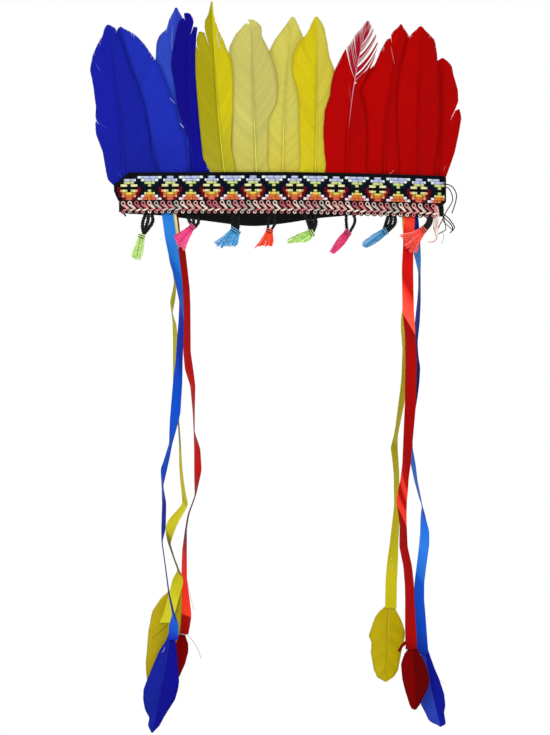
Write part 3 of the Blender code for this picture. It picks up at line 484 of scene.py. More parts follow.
# Outline rows: rise, left edge, right edge, in hundredths of the height and the width
ROWS = {
    "blue_outer": [
        (8, -8, 16), (13, -23, 39), (18, -26, 50), (29, -31, 41), (39, -41, 38), (46, -42, 35), (54, -41, 32),
        (66, -45, 22), (75, -50, 10), (83, -46, 3), (89, -39, -2), (94, -31, -7), (98, -29, -10), (100, -26, -21)],
    "blue_second": [
        (8, 5, 32), (14, -8, 46), (19, -17, 46), (29, -29, 45), (39, -37, 43), (47, -42, 35), (54, -46, 32),
        (60, -48, 28), (70, -50, 20), (78, -50, 13), (82, -49, 7), (90, -46, -4), (96, -40, -15), (99, -35, -25),
        (100, -33, -30)],
    "blue_pale": [
        (7, -12, 18), (13, -28, 38), (22, -38, 45), (37, -42, 50), (52, -48, 50), (65, -50, 50), (74, -50, 45),
        (82, -48, 40), (86, -40, 35), (89, -22, 28), (94, -16, 20), (98, -5, 10), (100, -1, 5)],
    "blue_dark": [
        (7, 14, 46), (13, 6, 55), (19, 2, 54), (30, 0, 39), (39, -1, 34), (46, -19, 30), (49, -31, 29),
        (55, -36, 24), (62, -40, 22), (71, -50, 21), (76, -50, 20), (81, -46, 19), (87, -40, 20), (93, -33, 24),
        (97, -28, 11), (100, -14, 3)],
    "yellow_first": [
        (5, 26, 64), (10, 11, 62), (16, -8, 58), (22, -29, 52), (29, -33, 44), (38, -38, 47), (47, -42, 50),
        (58, -47, 50), (64, -49, 50), (72, -50, 45), (77, -49, 32), (82, -46, 22), (86, -41, 11), (89, -26, 7),
        (93, -16, -1), (100, -8, -4)],
    "yellow_second": [
        (6, -10, 19), (11, -30, 26), (18, -42, 30), (29, -44, 30), (38, -42, 30), (46, -43, 30), (51, -45, 38),
        (55, -48, 48), (64, -50, 50), (71, -50, 46), (77, -49, 41), (85, -46, 30), (91, -36, 18), (96, -23, 18),
        (98, -19, 17), (100, -13, 10)],
    "yellow_third": [
        (6, -14, 7), (11, -31, 26), (18, -43, 38), (28, -48, 43), (39, -50, 48), (50, -50, 50), (60, -50, 50),
        (70, -49, 50), (78, -45, 50), (83, -36, 49), (88, -24, 46), (93, -7, 37), (97, 5, 30), (100, 14, 23)],
    "yellow_fourth": [
        (6, -16, 11), (11, -27, 25), (18, -31, 32), (28, -32, 39), (39, -34, 43), (53, -34, 48), (62, -39, 50),
        (70, -50, 50), (78, -50, 36), (82, -43, 33), (87, -34, 30), (89, -23, 28), (93, -11, 25), (97, -6, 19),
        (100, 2, 9)],
    "red_first": [
        (6, -16, 8), (11, -32, 21), (17, -43, 26), (28, -48, 29), (39, -50, 30), (51, -47, 27), (58, -39, 21),
        (64, -36, 13), (68, -34, 12), (73, -29, 29), (78, -21, 41), (84, -11, 47), (87, -2, 49), (92, 7, 45),
        (95, 16, 41), (98, 23, 36), (100, 28, 32)],
    "red_second": [
        (6, -12, 8), (12, -23, 18), (17, -32, 27), (29, -40, 35), (40, -45, 40), (52, -48, 45), (60, -50, 47),
        (69, -48, 48), (73, -33, 48), (77, -17, 48), (83, -10, 47), (88, -3, 46), (92, 4, 43), (96, 15, 37),
        (98, 22, 32), (100, 26, 29)],
    "red_third": [
        (6, -20, 12), (12, -36, 28), (19, -41, 34), (30, -45, 43), (41, -48, 48), (52, -50, 50), (63, -49, 50),
        (72, -45, 49), (79, -39, 45), (86, -32, 42), (92, -25, 38), (95, -19, 28), (98, -8, 16), (100, 1, 9)],
    "red_outer": [
        (8, -24, 1), (14, -35, 6), (18, -40, 8), (25, -42, 18), (35, -45, 31), (48, -47, 42), (59, -49, 49),
        (70, -50, 41), (78, -49, 40), (89, -42, 28), (95, -32, 24), (99, -17, 12), (100, -6, 5)],
    "end_yellow_left": [
        (0, 18, 45), (9, -9, 46), (22, -31, 46), (28, -35, 45), (42, -42, 42), (62, -46, 24), (73, -49, 11),
        (83, -48, -5), (91, -46, -21), (99, -39, -32)],
    "end_blue_left": [
        (2, 20, 36), (8, 14, 39), (18, -4, 42), (33, -22, 46), (49, -40, 49), (57, -48, 46), (67, -49, 38),
        (77, -44, 21), (85, -32, 7), (93, -36, -4), (100, -27, -22)],
    "end_red_left": [
        (4, -13, 33), (22, -39, 49), (36, -46, 49), (59, -50, 33), (81, -45, 7), (98, -29, -19)],
    "end_yellow_right": [
        (1, -4, 22), (8, -21, 27), (15, -32, 36), (24, -39, 44), (34, -46, 50), (40, -50, 50), (49, -42, 47),
        (62, -44, 40), (84, -36, 32), (94, -27, 19), (100, -8, 5)],
    "end_red_right": [
        (2, -25, 6), (10, -38, 15), (20, -46, 28), (28, -50, 36), (36, -49, 42), (52, -45, 49), (64, -39, 45),
        (77, -31, 31), (91, -21, 16), (99, -14, 6)],
    "end_blue_right": [
        (2, -41, -17), (15, -43, -4), (27, -44, 9), (41, -48, 27), (60, -49, 45), (73, -41, 49), (83, -25, 44),
        (92, -13, 49), (98, 7, 50), (100, 21, 36)],
}

# name, layer, middle x, width and height in mm, quill places at foot, half way and tip in hundredths of the
# width, colours of left vane, right vane, foot of the vane and shaft
BAND_FEATHERS = [
    ("blue_outer", 0, -136.5, 59.9, 156.6, (4, -7, -23), "#1a22ae", "#1a24a8", "#1a24a0", "#242cbc"),
    ("blue_second", 1, -115.3, 77.4, 154.9, (19, -5, -31), "#1c2ab2", "#2234bc", "#1c2aac", "#2634c0"),
    ("blue_pale", 2, -91.4, 34.8, 171.4, (2, 0, 2), "#3450c8", "#3048c4", "#2438bc", "#4460d0"),
    ("blue_dark", 1, -79.2, 31.3, 166.2, (28, -3, -6), "#140c90", "#120e94", "#10149a", "#201ca8"),
    ("yellow_first", 0, -57.4, 33.1, 175.7, (38, 8, -6), "#b0a614", "#d4c818", "#b4ac30", "#ece240"),
    ("yellow_second", 1, -23.9, 44.4, 160.1, (10, 3, -3), "#d4cc70", "#ccc46c", "#cec654", "#f4ec70"),
    ("yellow_third", 2, 4.4, 36.5, 162.7, (-5, -1, 18), "#d8d060", "#d6ce60", "#dccc48", "#f6ee70"),
    ("yellow_fourth", 1, 29.6, 38.3, 162.7, (1, 6, 6), "#dccb1a", "#d6ca48", "#d8ca2c", "#f0e238"),
    ("red_first", 0, 61.8, 48.7, 159.2, (-7, -1, 30), "#bc0000", "#b40000", "#b80000", "#c80404"),
    ("red_second", 1, 91.4, 52.2, 156.6, (-2, 5, 27), "#be0000", "#b60000", "#b60000", "#c80404"),
    ("red_third", 0, 120.9, 38.3, 154.9, (-2, 0, 5), "#bc0000", "#b60000", "#b40000", "#c80404"),
    ("red_outer", 1, 142.2, 33.9, 127.5, (-12, -1, 0), "#b00000", "#b80000", "#b40000", "#c40404"),
]

# Splits in a vane: feather, side, height of its mouth (past 100 in the fan at the tip) and half its opening, in
# hundredths of the height
SPLITS = [
    ("blue_outer", 1, 97.0, 0.8), ("blue_outer", -1, 47, 0.2), ("blue_second", 1, 43, 0.3),
    ("blue_pale", 1, 93, 0.3), ("blue_dark", -1, 99, 1.0), ("blue_dark", 1, 95, 1.2),
    ("yellow_first", -1, 79, 0.3), ("yellow_first", -1, 88, 1.6), ("yellow_first", 1, 91, 0.5),
    ("yellow_second", -1, 101, 1.6), ("red_second", -1, 94, 0.9), ("red_outer", 1, 68, 1.6),
]

# Locks a frayed vane falls into, by side: lowest and highest barb at the shaft in hundredths, share of the barbs
# kept and how far they gather towards the end
RED_LOCKS = {
    -1: [(0, 67.5, 1.0, 0.0), (68.1, 77, 0.9, 0.08), (77.3, 88, 0.88, 0.06), (88.2, 100, 0.9, 0.05)],
    1: [(0, 64.5, 1.0, 0.0), (65.5, 69.5, 0.75, 0.4), (70.5, 74, 0.8, 0.5), (75.5, 80.5, 0.85, 0.5),
        (82, 86.5, 0.75, 0.4), (87, 100, 0.9, 0.1)],
}

WORN_RED = "#ae1836"

# Upper shafts that stay bare and pale: colour and thickness half way up in mm
PALE_SHAFTS = {"red_first": ("#e0a4b4", 0.8)}

# Pale streaks where light catches a fold or a parted barb: feather, colour, thickness in mm, points (x, z) in mm
GLINTS = [
    ("blue_second", "#9cb0f4", 0.5, [(-96.3, 101.9), (-94.0, 99.2), (-91.3, 96.0)]),
    ("blue_second", "#c4d0f8", 0.55, [(-87.4, 79.7), (-85.3, 77.0), (-83.0, 74.8)]),
    ("blue_outer", "#5864d4", 0.45, [(-161.4, 133.0), (-159.0, 128.6), (-156.2, 124.2)]),
    ("blue_outer", "#4c58cc", 0.4, [(-159.6, 84.0), (-156.0, 79.0), (-150.0, 74.5)]),
    ("blue_outer", "#4450c8", 0.4, [(-142.0, 36.4), (-139.6, 34.2), (-137.8, 32.2)]),
    ("blue_pale", "#7488e4", 0.6, [(-93.6, 165.0), (-94.4, 150.0), (-93.0, 138.0)]),
    ("yellow_first", "#ccc88c", 1.8, [(-55.6, 158.0), (-53.8, 150.0), (-52.0, 142.0)]),
    ("red_first", "#c83c50", 0.6, [(60.2, 113.0), (61.0, 103.0), (62.6, 94.0)]),
    ("red_second", "#e88c90", 0.4, [(96.7, 147.0), (98.2, 139.0), (100.0, 131.0)]),
    ("red_second", "#d46c6c", 0.8, [(94.0, 34.4), (97.0, 36.2), (99.6, 38.8)]),
    ("red_outer", "#cc5858", 0.5, [(142.2, 37.6), (143.6, 40.2), (145.0, 43.2)]),
]

GLINT_RAISE = 0.25 * MM

# How far the foot of a vane spreads under its neighbour on the left and right, in hundredths of the width
FOOT_SPREAD = {
    "yellow_first": (4, 0), "yellow_second": (12, 12), "yellow_third": (12, 12), "yellow_fourth": (12, 16),
    "red_first": (10, 14), "red_second": (12, 12), "red_third": (12, 8), "red_outer": (10, 0), "blue_dark": (0, 16),
}


def band_vane(spec):
    """Function from (rise, place across) in shares to points of a band feather's vane."""
    _, layer, middle, width, height, quill = spec[:6]
    depth = LAYER_FIRST + layer * LAYER_PITCH

    def surface(rise, across):
        x = middle * MM + across * width * MM
        z = QUILL_FOOT + rise * height * MM
        up = np.maximum(0.0, z - FELT_HEAD) / TIP_RISE
        off = across - three_point(quill, rise) / 100
        y = bowed_y(x, depth) + (LEAN + layer * LEAN_STEP) * up ** 1.5 + CAMBER * up * (2 * off) ** 2
        y = y + 0.35 * MM * up * np.sin(rise * 17 + layer * 2 + middle) * np.sin(off * 9 + middle)
        return np.stack([x, y, z], axis=-1)

    return surface


# Barbs: number in the fan that closes a tip, and the rise at which its last one leaves the shaft
FAN_BARBS = 12
FAN_TOP = 0.985
# How far a flat tip is domed (share of its half width, most, and the rise it starts from)
DOME_SHARE = 0.5
DOME_MOST = 0.022
DOME_FROM = 0.93
# Unevenness of the barbs' ends: up and down, in reach, and in clumps of nine
TIP_JITTER = 0.0006
REACH_JITTER = 0.005
CLUMP_REACH = 0.010
# Where a barb bends: share of its way outwards and upwards
BEND_OUT = 0.56
BEND_UP = 0.34
# How wide a barb is against the step to the next one, how flat it is, and a three-sided strand's width
BARB_LAP = 1.7
BARB_FLAT = 0.36
THREE_SIDED = 0.866
BARB_THINNEST = 0.18 * MM
BARB_RELIEF = 0.03 * MM


def barbs(surface, rows, quill, side, colours, settings, rng, low, high, material, splits=(), locks=None, spread=0.0):
    """The barbs of one side of a vane, zipped together but for its splits, with a fan that closes the tip."""
    colour, base = colours
    outline = smooth_table(rows)
    foot = rows[0][0] / 100
    tall = np.linalg.norm(surface(np.array(1.0), np.array(0.0)) - surface(np.array(0.0), np.array(0.0)))
    count = int(tall * (high - low) / settings.barb_pitch)
    u = np.linspace(0, 1, count)
    close = np.concatenate([np.zeros(count), np.linspace(0, 1, FAN_BARBS + 1)[1:]])
    attach = np.concatenate([low + (high - low) * u, high + (FAN_TOP - high) * close[count:]])
    tip = np.concatenate([foot + (1 - foot) * (u + 0.62 * u * (1 - u)), np.ones(FAN_BARBS)])
    count += FAN_BARBS
    tip = np.clip(tip + rng.normal(0, TIP_JITTER, count), 0.0, 1.0)
    middle = three_point(quill, attach) / 100
    edge = outline(tip)[0 if side < 0 else 1]
    reach = np.linalg.norm(surface(np.array(1.0), np.array(0.5)) - surface(np.array(1.0), np.array(-0.5))) / tall
    dome = min(DOME_SHARE * abs(edge[-1] - three_point(quill, 1.0) / 100) * reach, DOME_MOST)
    tip = tip - dome * np.clip((tip - DOME_FROM) / (1 - DOME_FROM), 0, 1) * (1 - np.sin(close * math.pi / 2))
    edge = edge + side * spread / 100 * np.clip((0.21 - tip) / 0.10, 0, 1)
    edge = edge + (three_point(quill, 1.0) / 100 - edge) * close
    clump = np.convolve(rng.normal(0, 1, count + 8), np.ones(9) / 9, "valid")
    shrink = 1 - np.abs(rng.normal(0, REACH_JITTER, count)) - CLUMP_REACH * np.maximum(0, clump)
    opened = np.zeros(count)
    for height, half in splits:
        gap = tip + 0.05 * close - height / 100
        opened += half / 100 * np.sign(gap) * np.exp(-np.abs(gap) / 0.03)
        shrink -= 0.12 * half * np.exp(-(gap / 0.012) ** 2)
    t = np.linspace(0, 1, settings.barb_points)[None]
    x0 = middle[:, None]
    x1 = (middle + (edge - middle) * shrink)[:, None]
    z0 = attach[:, None]
    z1 = (attach + (tip - attach) * (0.4 + 0.6 * shrink))[:, None]
    xc = x0 + BEND_OUT * (x1 - x0)
    zc = z0 + BEND_UP * (z1 - z0)
    across = (1 - t) ** 2 * x0 + 2 * t * (1 - t) * xc + t * t * x1
    rise = (1 - t) ** 2 * z0 + 2 * t * (1 - t) * zc + t * t * z1
    paths = surface(rise, across)
    along = unit(np.gradient(paths, axis=1))
    apart = np.gradient(paths, axis=0)
    apart = np.linalg.norm(apart - along * (apart * along).sum(2, keepdims=True), axis=2)
    typical = np.median(apart, axis=0)
    width = np.clip(apart * BARB_LAP, BARB_THINNEST, np.maximum(typical * 5.0, 0.4 * MM)[None])
    width = width * np.interp(t, [0, 0.93, 1], [1, 1, 0.6])
    keep = np.ones(count, bool)
    worn = np.zeros(count)
    if locks:
        keep[:] = False
        for first, last, share, gather in locks:
            inside = (attach >= first / 100) & (attach < last / 100)
            keep |= inside & (rng.uniform(0, 1, count) < share)
            pull = gather * t ** 1.5
            across[inside] += (across[inside].mean(0) - across[inside]) * pull
            rise[inside] += (rise[inside].mean(0) - rise[inside]) * pull
            if gather:
                width[inside] *= 1 - 0.45 * t
                worn[inside] = 1.0
    paths = surface(np.minimum(rise + opened[:, None] * t ** 3, 1.0), across)
    shade = 1 + 0.02 * rng.normal(0, 1, count) + 0.08 * clump
    shade = np.clip(shade, 0.82, 1.2)[:, None] * np.interp(t, [0, 0.5, 1], [0.98, 1.0, 1.02])
    blend = np.clip((0.45 - rise) / 0.35, 0, 1)[:, :, None]
    tint = (colour * (1 - blend) + base * blend) * shade[:, :, None]
    tint += (linear(WORN_RED) - tint) * (0.75 * worn)[:, None, None]
    paths[:, :, 1] += (np.arange(count) % 2)[:, None] * BARB_RELIEF
    return strands(paths[keep], FRONT, width[keep] / THREE_SIDED, BARB_FLAT, tint[keep], 3, material)


# Lowest and highest barb on a shaft and the shaft's own end, in shares of the height, in the band and on ribbons
BAND_BARBS = (0.04, 0.94, 0.965)
END_BARBS = (0.02, 0.93, 0.96)
# Thickness of a shaft half way up, in mm
SHAFT_HALF_WAY = 0.38


def shaft(surface, quill, colour, vane, foot, tip, thick, material, half_way=SHAFT_HALF_WAY):
    """The tapered rachis, standing a little proud of the vane."""
    rise = np.linspace(foot, tip, 46)
    path = surface(rise, three_point(quill, rise) / 100)
    taper = np.interp(rise, [foot, 0.12, 0.55, tip], [thick, thick * 0.7, half_way * MM, 0.42 * half_way * MM])
    path[:, 1] -= np.interp(rise, [0.1, 0.6, 1.0], [0.16, 0.06, 0.0]) * MM
    fade = np.clip((rise - 0.40) / 0.25, 0, 1)[None, :, None]
    tint = colour * (1 - fade) + vane * fade
    return strands(path[None], FRONT, taper[None], 1.0, tint, 8, material)


class HEADDRESS_OT_feathers(bpy.types.Operator):
    """Grow the twelve feathers that stand in the band"""
    bl_idname = "headdress.feathers"
    bl_label = "Band feathers"

    def execute(self, context):
        settings = context.scene.headdress
        material = feather_material()
        rng = np.random.default_rng(settings.seed)
        first, last, shaft_end = BAND_BARBS
        for spec in BAND_FEATHERS:
            name, _, middle, width, height, quill = spec[:6]
            change = dye_change(settings, name)
            left, right, base, core = (linear(code) * change for code in spec[6:])
            surface = band_vane(spec)
            rows = ROWS[name]
            parts = []
            for side, colour, spread in zip((-1, 1), (left, right), FOOT_SPREAD.get(name, (0, 0))):
                splits = [s[2:] for s in SPLITS if s[0] == name and s[1] == side]
                locks = RED_LOCKS[side] if name == "red_first" else None
                parts.append(barbs(surface, rows, quill, side, (colour, base), settings, rng, first, last, material,
                                   splits, locks, spread))
            pale, half_way = PALE_SHAFTS.get(name, (None, SHAFT_HALF_WAY))
            upper = linear(pale) if pale else left
            parts.append(shaft(surface, quill, core, upper, 0.0, shaft_end, 2 * QUILL_RADIUS, material, half_way))
            for _, colour, thick, points in (glint for glint in GLINTS if glint[0] == name):
                line = resample([(x * MM, 0.0, z * MM) for x, z in points], 8)
                line = surface((line[:, 2] - QUILL_FOOT) / (height * MM), (line[:, 0] / MM - middle) / width)
                line[:, 1] -= GLINT_RAISE
                wide = thick * MM * np.array([[0.2, 0.6, 1, 1, 1, 1, 0.6, 0.2]])
                parts.append(strands(line[None], FRONT, wide, 0.3, linear(colour), 6, material))
            make_piece(f"Feather_{name}", parts, material, [f"feather_{name}"])
        return {"FINISHED"}


# Ribbon, sideways step from its end, lap, width and height in mm, quill places in hundredths of the width, colours
# of left vane, right vane and shaft
END_FEATHERS = [
    ("yellow_left", -0.8, 29.6, 33.1, 87.0, (33, -8, -36), "#cab61c", "#bca818", "#d8c834"),
    ("blue_left", -10.5, 7.0, 32.2, 87.9, (27, 3, -24), "#1a28a4", "#14149a", "#2430b0"),
    ("red_left", -3.3, 1.0, 16.8, 45.2, (12, -3, -24), "#9c0000", "#920000", "#a40404"),
    ("red_right", 3.7, 1.7, 25.2, 54.4, (-9, 1, -2), "#820000", "#6c0000", "#700202"),
    ("yellow_right", -3.5, 2.6, 31.8, 67.0, (7, 3, -4), "#c8b414", "#cab60a", "#e4d448"),
    ("blue_right", 8.3, 7.0, 23.9, 70.5, (-30, -4, 32), "#2e48bc", "#141ca4", "#2c44b8"),
]

# Cut tail of a ribbon past its knot, as points (x, z) in mm
TAILS = {"red_right": [(111.6, -371.4), (106.2, -376.4), (103.4, -381.2)]}
# How far a small feather's vane lies inside its solid, and the bare quill above the vane in mm
END_INSET = 0.55 * MM
END_QUILL = 4.5


class HEADDRESS_OT_end_feathers(bpy.types.Operator):
    """Grow the six small feathers that hang on the ribbons"""
    bl_idname = "headdress.end_feathers"
    bl_label = "Ribbon feathers"

    def execute(self, context):
        settings = context.scene.headdress
        material = bpy.data.materials["Dyed feather barbs, matte keratin with light through them"]
        rng = np.random.default_rng(settings.seed + 1)
        first, last, shaft_end = END_BARBS
        for name, step, lap, width, height, quill, *codes in END_FEATHERS:
            left, right, core = (linear(code) * dye_change(settings, name) for code in codes)
            carrier = next(r for r in RIBBONS if r[0] == name)
            end = ribbon_lie(carrier, np.array([1.0]))[0][0]
            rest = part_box("end_feather_" + name)[0][1] + END_INSET
            middle = end[0] + step * MM
            top = end[2] + lap * MM

            def surface(drop, across):
                off = across - three_point(quill, drop) / 100
                y = rest + 1.5 * MM * (2 * off) ** 2 * np.minimum(1.0, 3 * drop)
                y = y + 0.25 * MM * np.sin(drop * 14 + step) * np.sin(off * 8)
                x = middle + across * width * MM
                return np.stack([x, y + 0 * x, top - drop * height * MM + 0 * x], axis=-1)

            rows = ROWS["end_" + name]
            parts = [
                barbs(surface, rows, quill, side, (colour, colour), settings, rng, first, last, material)
                for side, colour in ((-1, left), (1, right))
            ]
            parts.append(shaft(surface, quill, core, left, -END_QUILL / height, shaft_end, 1.0 * MM, material))
            if name in TAILS:
                tail = resample([(x * MM, rest - 1.3 * MM, z * MM) for x, z in TAILS[name]], 12)
                parts.append(strands(tail[None], FRONT, np.linspace(3.4, 2.6, 12)[None] * MM, 0.2,
                                     linear("#7c0606") * dye_change(settings, name), 6, material))
            make_piece(f"Ribbon_feather_{name}", parts, material, [f"end_feather_{name}"])
        return {"FINISHED"}


# ---------------------------------------------------------------- the band

# Half of one repeat of the woven pattern, 12 picks wide, charted: top row first, the other half mirrors it
CHART = [half + half[::-1] for half in (
    "LLnndWWQLLLL",
    "LLLWnddWWLLL",
    "GGGnnnnddGGG",
    ".PPPPnnndddG",
    ".....MMnnn..",
    ".GPPEBMn.ddG",
    "YYKKBMn..PYY",
    "OOSEMMnWWOOO",
    "SSMMnWWNSSSO",
)]
THREADS = {
    "W": "#ececf2", "L": "#bcc6e4", "Q": "#b8dce0", "G": "#ccd88c", "P": "#e8e6a8", "Y": "#e8cc5c",
    "K": "#c88c34", "O": "#e07c34", "E": "#f0b48c", "N": "#f0b8b0", "S": "#d46c54", "B": "#981408",
    "M": "#680e12", "n": "#0a0f2c", "d": "#08221a",
}
REPEAT = 36.1 * MM
REPEAT_START = -113.6 * MM
ROW_TOP = 32.1 * MM
ROW_PITCH = 2.33 * MM
PICKS = 24
LONGEST_FLOAT = 4
PLY_STEP = 0.62 * MM
# Thread thickness, and depths behind the trim's front of its ground, floats, border threads and fine ribs
FLOAT_WIDTH = 0.74 * MM
GROUND_DEPTH = 0.35 * MM
FLOAT_DEPTH = 0.42 * MM
BORDER_DEPTH = 0.28 * MM
RIB_LIE = 0.34 * MM
# Border threads: height over an edge of the trim in mm, 0 for the lower edge or 1 for the upper
BORDERS = ((1.1, 1), (0.3, 1), (-0.5, 1), (-1.3, 1), (0.5, 0), (1.3, 0))

TRIM_ENDS = [(-1.0, 0.41, 0.39), (-0.971, 0.33, 0.0), (-0.952, 0.20, 0.0), (-0.909, 0.0, 0.0), (0.985, 0.0, 0.0),
             (1.0, 0.08, 0.10)]
FELT_ENDS = [(-0.985, 0.30, 0.60), (-0.962, 0.20, 0.30), (-0.938, 0.10, 0.0), (-0.909, 0.0, 0.0), (0.985, 0.0, 0.0)]


def strip_edges(ends, x, foot, height):
    """Low and high edge of a strip of the band at these places."""
    table = np.asarray(ends, float)
    share = x / BAND_HALF
    drop = np.interp(share, table[:, 0], table[:, 1])
    rise = np.interp(share, table[:, 0], table[:, 2])
    return foot + rise * height, foot + height * (1 - drop)


def trim_edges(x):
    """Low and high edge of the woven trim at these places."""
    return strip_edges(TRIM_ENDS, x, TRIM_FOOT, TRIM_HEIGHT)


def band_sink(x):
    """How far the band hangs below level towards its right end."""
    return BAND_SINK * np.maximum(0.0, np.asarray(x) / BAND_HALF) ** 1.4


def slab(x, low, high, front, back, rows, tint):
    """A closed bowed strip between two depths, with columns at x."""
    t = np.linspace(0, 1, rows + 1)
    z = low[:, None] + (high - low)[:, None] * t[None]
    xs = np.repeat(x[:, None], rows + 1, 1)
    z = z - band_sink(xs)
    grids = [np.stack([xs, bowed_y(xs, depth), z], axis=-1) for depth in (front, back)]
    return shell(*grids, tint)


def columns(low, high, count, ends):
    """Places across the band for a strip's columns, with one at each step of its worn ends."""
    places = np.concatenate([np.linspace(low, high, count), [e[0] * BAND_HALF for e in ends]])
    return np.unique(np.round(np.clip(places, low, high), 6))


class HEADDRESS_OT_trim(bpy.types.Operator):
    """Weave the patterned trim: a black ground with raised floats in nine rows"""
    bl_idname = "headdress.trim"
    bl_label = "Woven trim"

    def execute(self, context):
        settings = context.scene.headdress
        rng = np.random.default_rng(settings.seed + 2)
        x = columns(-BAND_HALF, BAND_HALF, 160, TRIM_ENDS)
        low, high = trim_edges(x)
        parts = [slab(x, low, high + TRIM_SELVEDGE, GROUND_DEPTH, TRIM_THICK, 2, linear("#08080b"))]
        threads = []
        pick = REPEAT / PICKS
        first = int(math.floor((-BAND_HALF - REPEAT_START) / pick)) + PICKS // 2
        last = int(math.ceil((BAND_HALF - REPEAT_START) / pick)) + PICKS // 2
        for row, line in enumerate(CHART):
            z = ROW_TOP - row * ROW_PITCH
            column = first
            while column < last:
                code = line[column % PICKS]
                run = 1
                while run < LONGEST_FLOAT and column + run < last and line[(column + run) % PICKS] == code:
                    run += 1
                start = REPEAT_START + (column - PICKS // 2) * pick
                column += run
                end = start + run * pick
                edge_low, edge_high = trim_edges(np.array([start, end]))
                on_band = start >= -BAND_HALF and end <= BAND_HALF
                if code != "." and on_band and edge_low.max() + 1 * MM <= z <= edge_high.min() - 1 * MM:
                    threads.append((start, end, z, code))
        paths, widths, tints = [], [], []
        t = np.linspace(0, 1, 6)
        for start, end, z, code in threads:
            bright = code not in "nd"
            for lift in (-PLY_STEP, 0.0, PLY_STEP):
                xs = start + 0.04 * MM + (end - start - 0.08 * MM) * t
                bulge = (0.62 if bright else 0.34) * MM * np.sin(math.pi * (0.08 + 0.84 * t)) ** 0.6
                ys = bowed_y(xs, FLOAT_DEPTH) - bulge + rng.normal(0, 0.02 * MM)
                zs = z + lift * (1.12 if bright else 1.05) - band_sink(xs) + rng.normal(0, 0.03 * MM)
                paths.append(np.stack([xs, ys, zs], -1))
                widths.append(FLOAT_WIDTH * np.array([0.7, 0.95, 1.0, 1.0, 0.95, 0.7]))
                # the lowest of each float's three plies is painted a tenth darker: painted shade on the float's
                # underside
                shade = 1 + rng.normal(0, 0.05) - (0.10 if lift < 0 else 0.0)
                tints.append(np.repeat((linear(THREADS[code]) * shade)[None], 6, 0))
        material = yarn_material("Woven trim, cotton and rayon floats", FLOAT_FIBRE, 0.75, 0.0, 0.06)
        floats = [strands(paths, FRONT, np.array(widths), 0.9, tints, 5, material)]
        xs = np.linspace(-BAND_HALF * 0.99, BAND_HALF * 0.995, 260)
        ys = bowed_y(xs, BORDER_DEPTH) - 0.09 * MM * np.sin(xs / (0.55 * MM))
        borders = [np.stack([xs, ys, trim_edges(xs)[at] + lift * MM - band_sink(xs)], -1) for lift, at in BORDERS]
        floats.append(strands(borders, FRONT, 0.8 * MM, 0.8, linear("#0e0e12"), 6, material))
        xs = np.linspace(-BAND_HALF * 0.985, BAND_HALF * 0.985, 60)
        low_edge, high_edge = trim_edges(xs)
        ribs = []
        for share in np.linspace(0, 1, 30):
            z = TRIM_FOOT + 2.2 * MM + (TRIM_HEIGHT - 4.4 * MM) * share
            inside = np.clip(z, low_edge + 0.6 * MM, high_edge - 0.6 * MM)
            ribs.append(np.stack([xs, bowed_y(xs, RIB_LIE), inside - band_sink(xs)], -1))
        floats.append(strands(ribs, FRONT, 0.62 * MM, 0.5, linear("#0d0d12"), 5, material))
        trim = make_piece("Woven_trim", parts, material, ["woven_trim"])
        pattern = make_piece("Woven_floats", floats, material, [])
        return {"FINISHED"}


class HEADDRESS_OT_felt(bpy.types.Operator):
    """Cut the felt behind the quills and run the elastic round the back"""
    bl_idname = "headdress.felt"
    bl_label = "Felt and elastic"

    def execute(self, context):
        x = columns(FELT_ENDS[0][0] * BAND_HALF, FELT_ENDS[-1][0] * BAND_HALF, 120, FELT_ENDS)
        low, high = strip_edges(FELT_ENDS, x, 1.0 * MM, FELT_HEAD - 1.0 * MM)
        parts = [slab(x, low, high, FELT_DEPTH, FELT_DEPTH + FELT_THICK, 6, (0.02, 0.02, 0.02))]
        felt = make_piece("Felt_backing", parts, felt_material(), ["felt_backing"])
        run = elastic_run(context.scene.headdress.elastic_height)
        strap = make_piece("Back_strap", [run], elastic_material(), ["back_strap"])
        return {"FINISHED"}


# Sag of the elastic's lower edge behind the band: share of its half width, share of the full sag
STRAP_LINE = [(-1.0, 0.0), (-0.78, 0.10), (-0.63, 0.33), (-0.47, 0.56), (-0.27, 0.90), (-0.18, 1.0), (-0.09, 0.93),
              (0.03, 0.75), (0.09, 0.64), (0.21, 0.37), (0.29, 0.27), (0.50, 0.05), (1.0, 0.0)]
# The elastic: thickness, radius of its corners, run behind the band's ends, number and depth of its ribs
ELASTIC_THICK = 1.2 * MM
ELASTIC_CORNER = 20.5 * MM
ELASTIC_LAP = 16.0 * MM
ELASTIC_RIBS = 14
RIB_DEPTH = 0.11 * MM


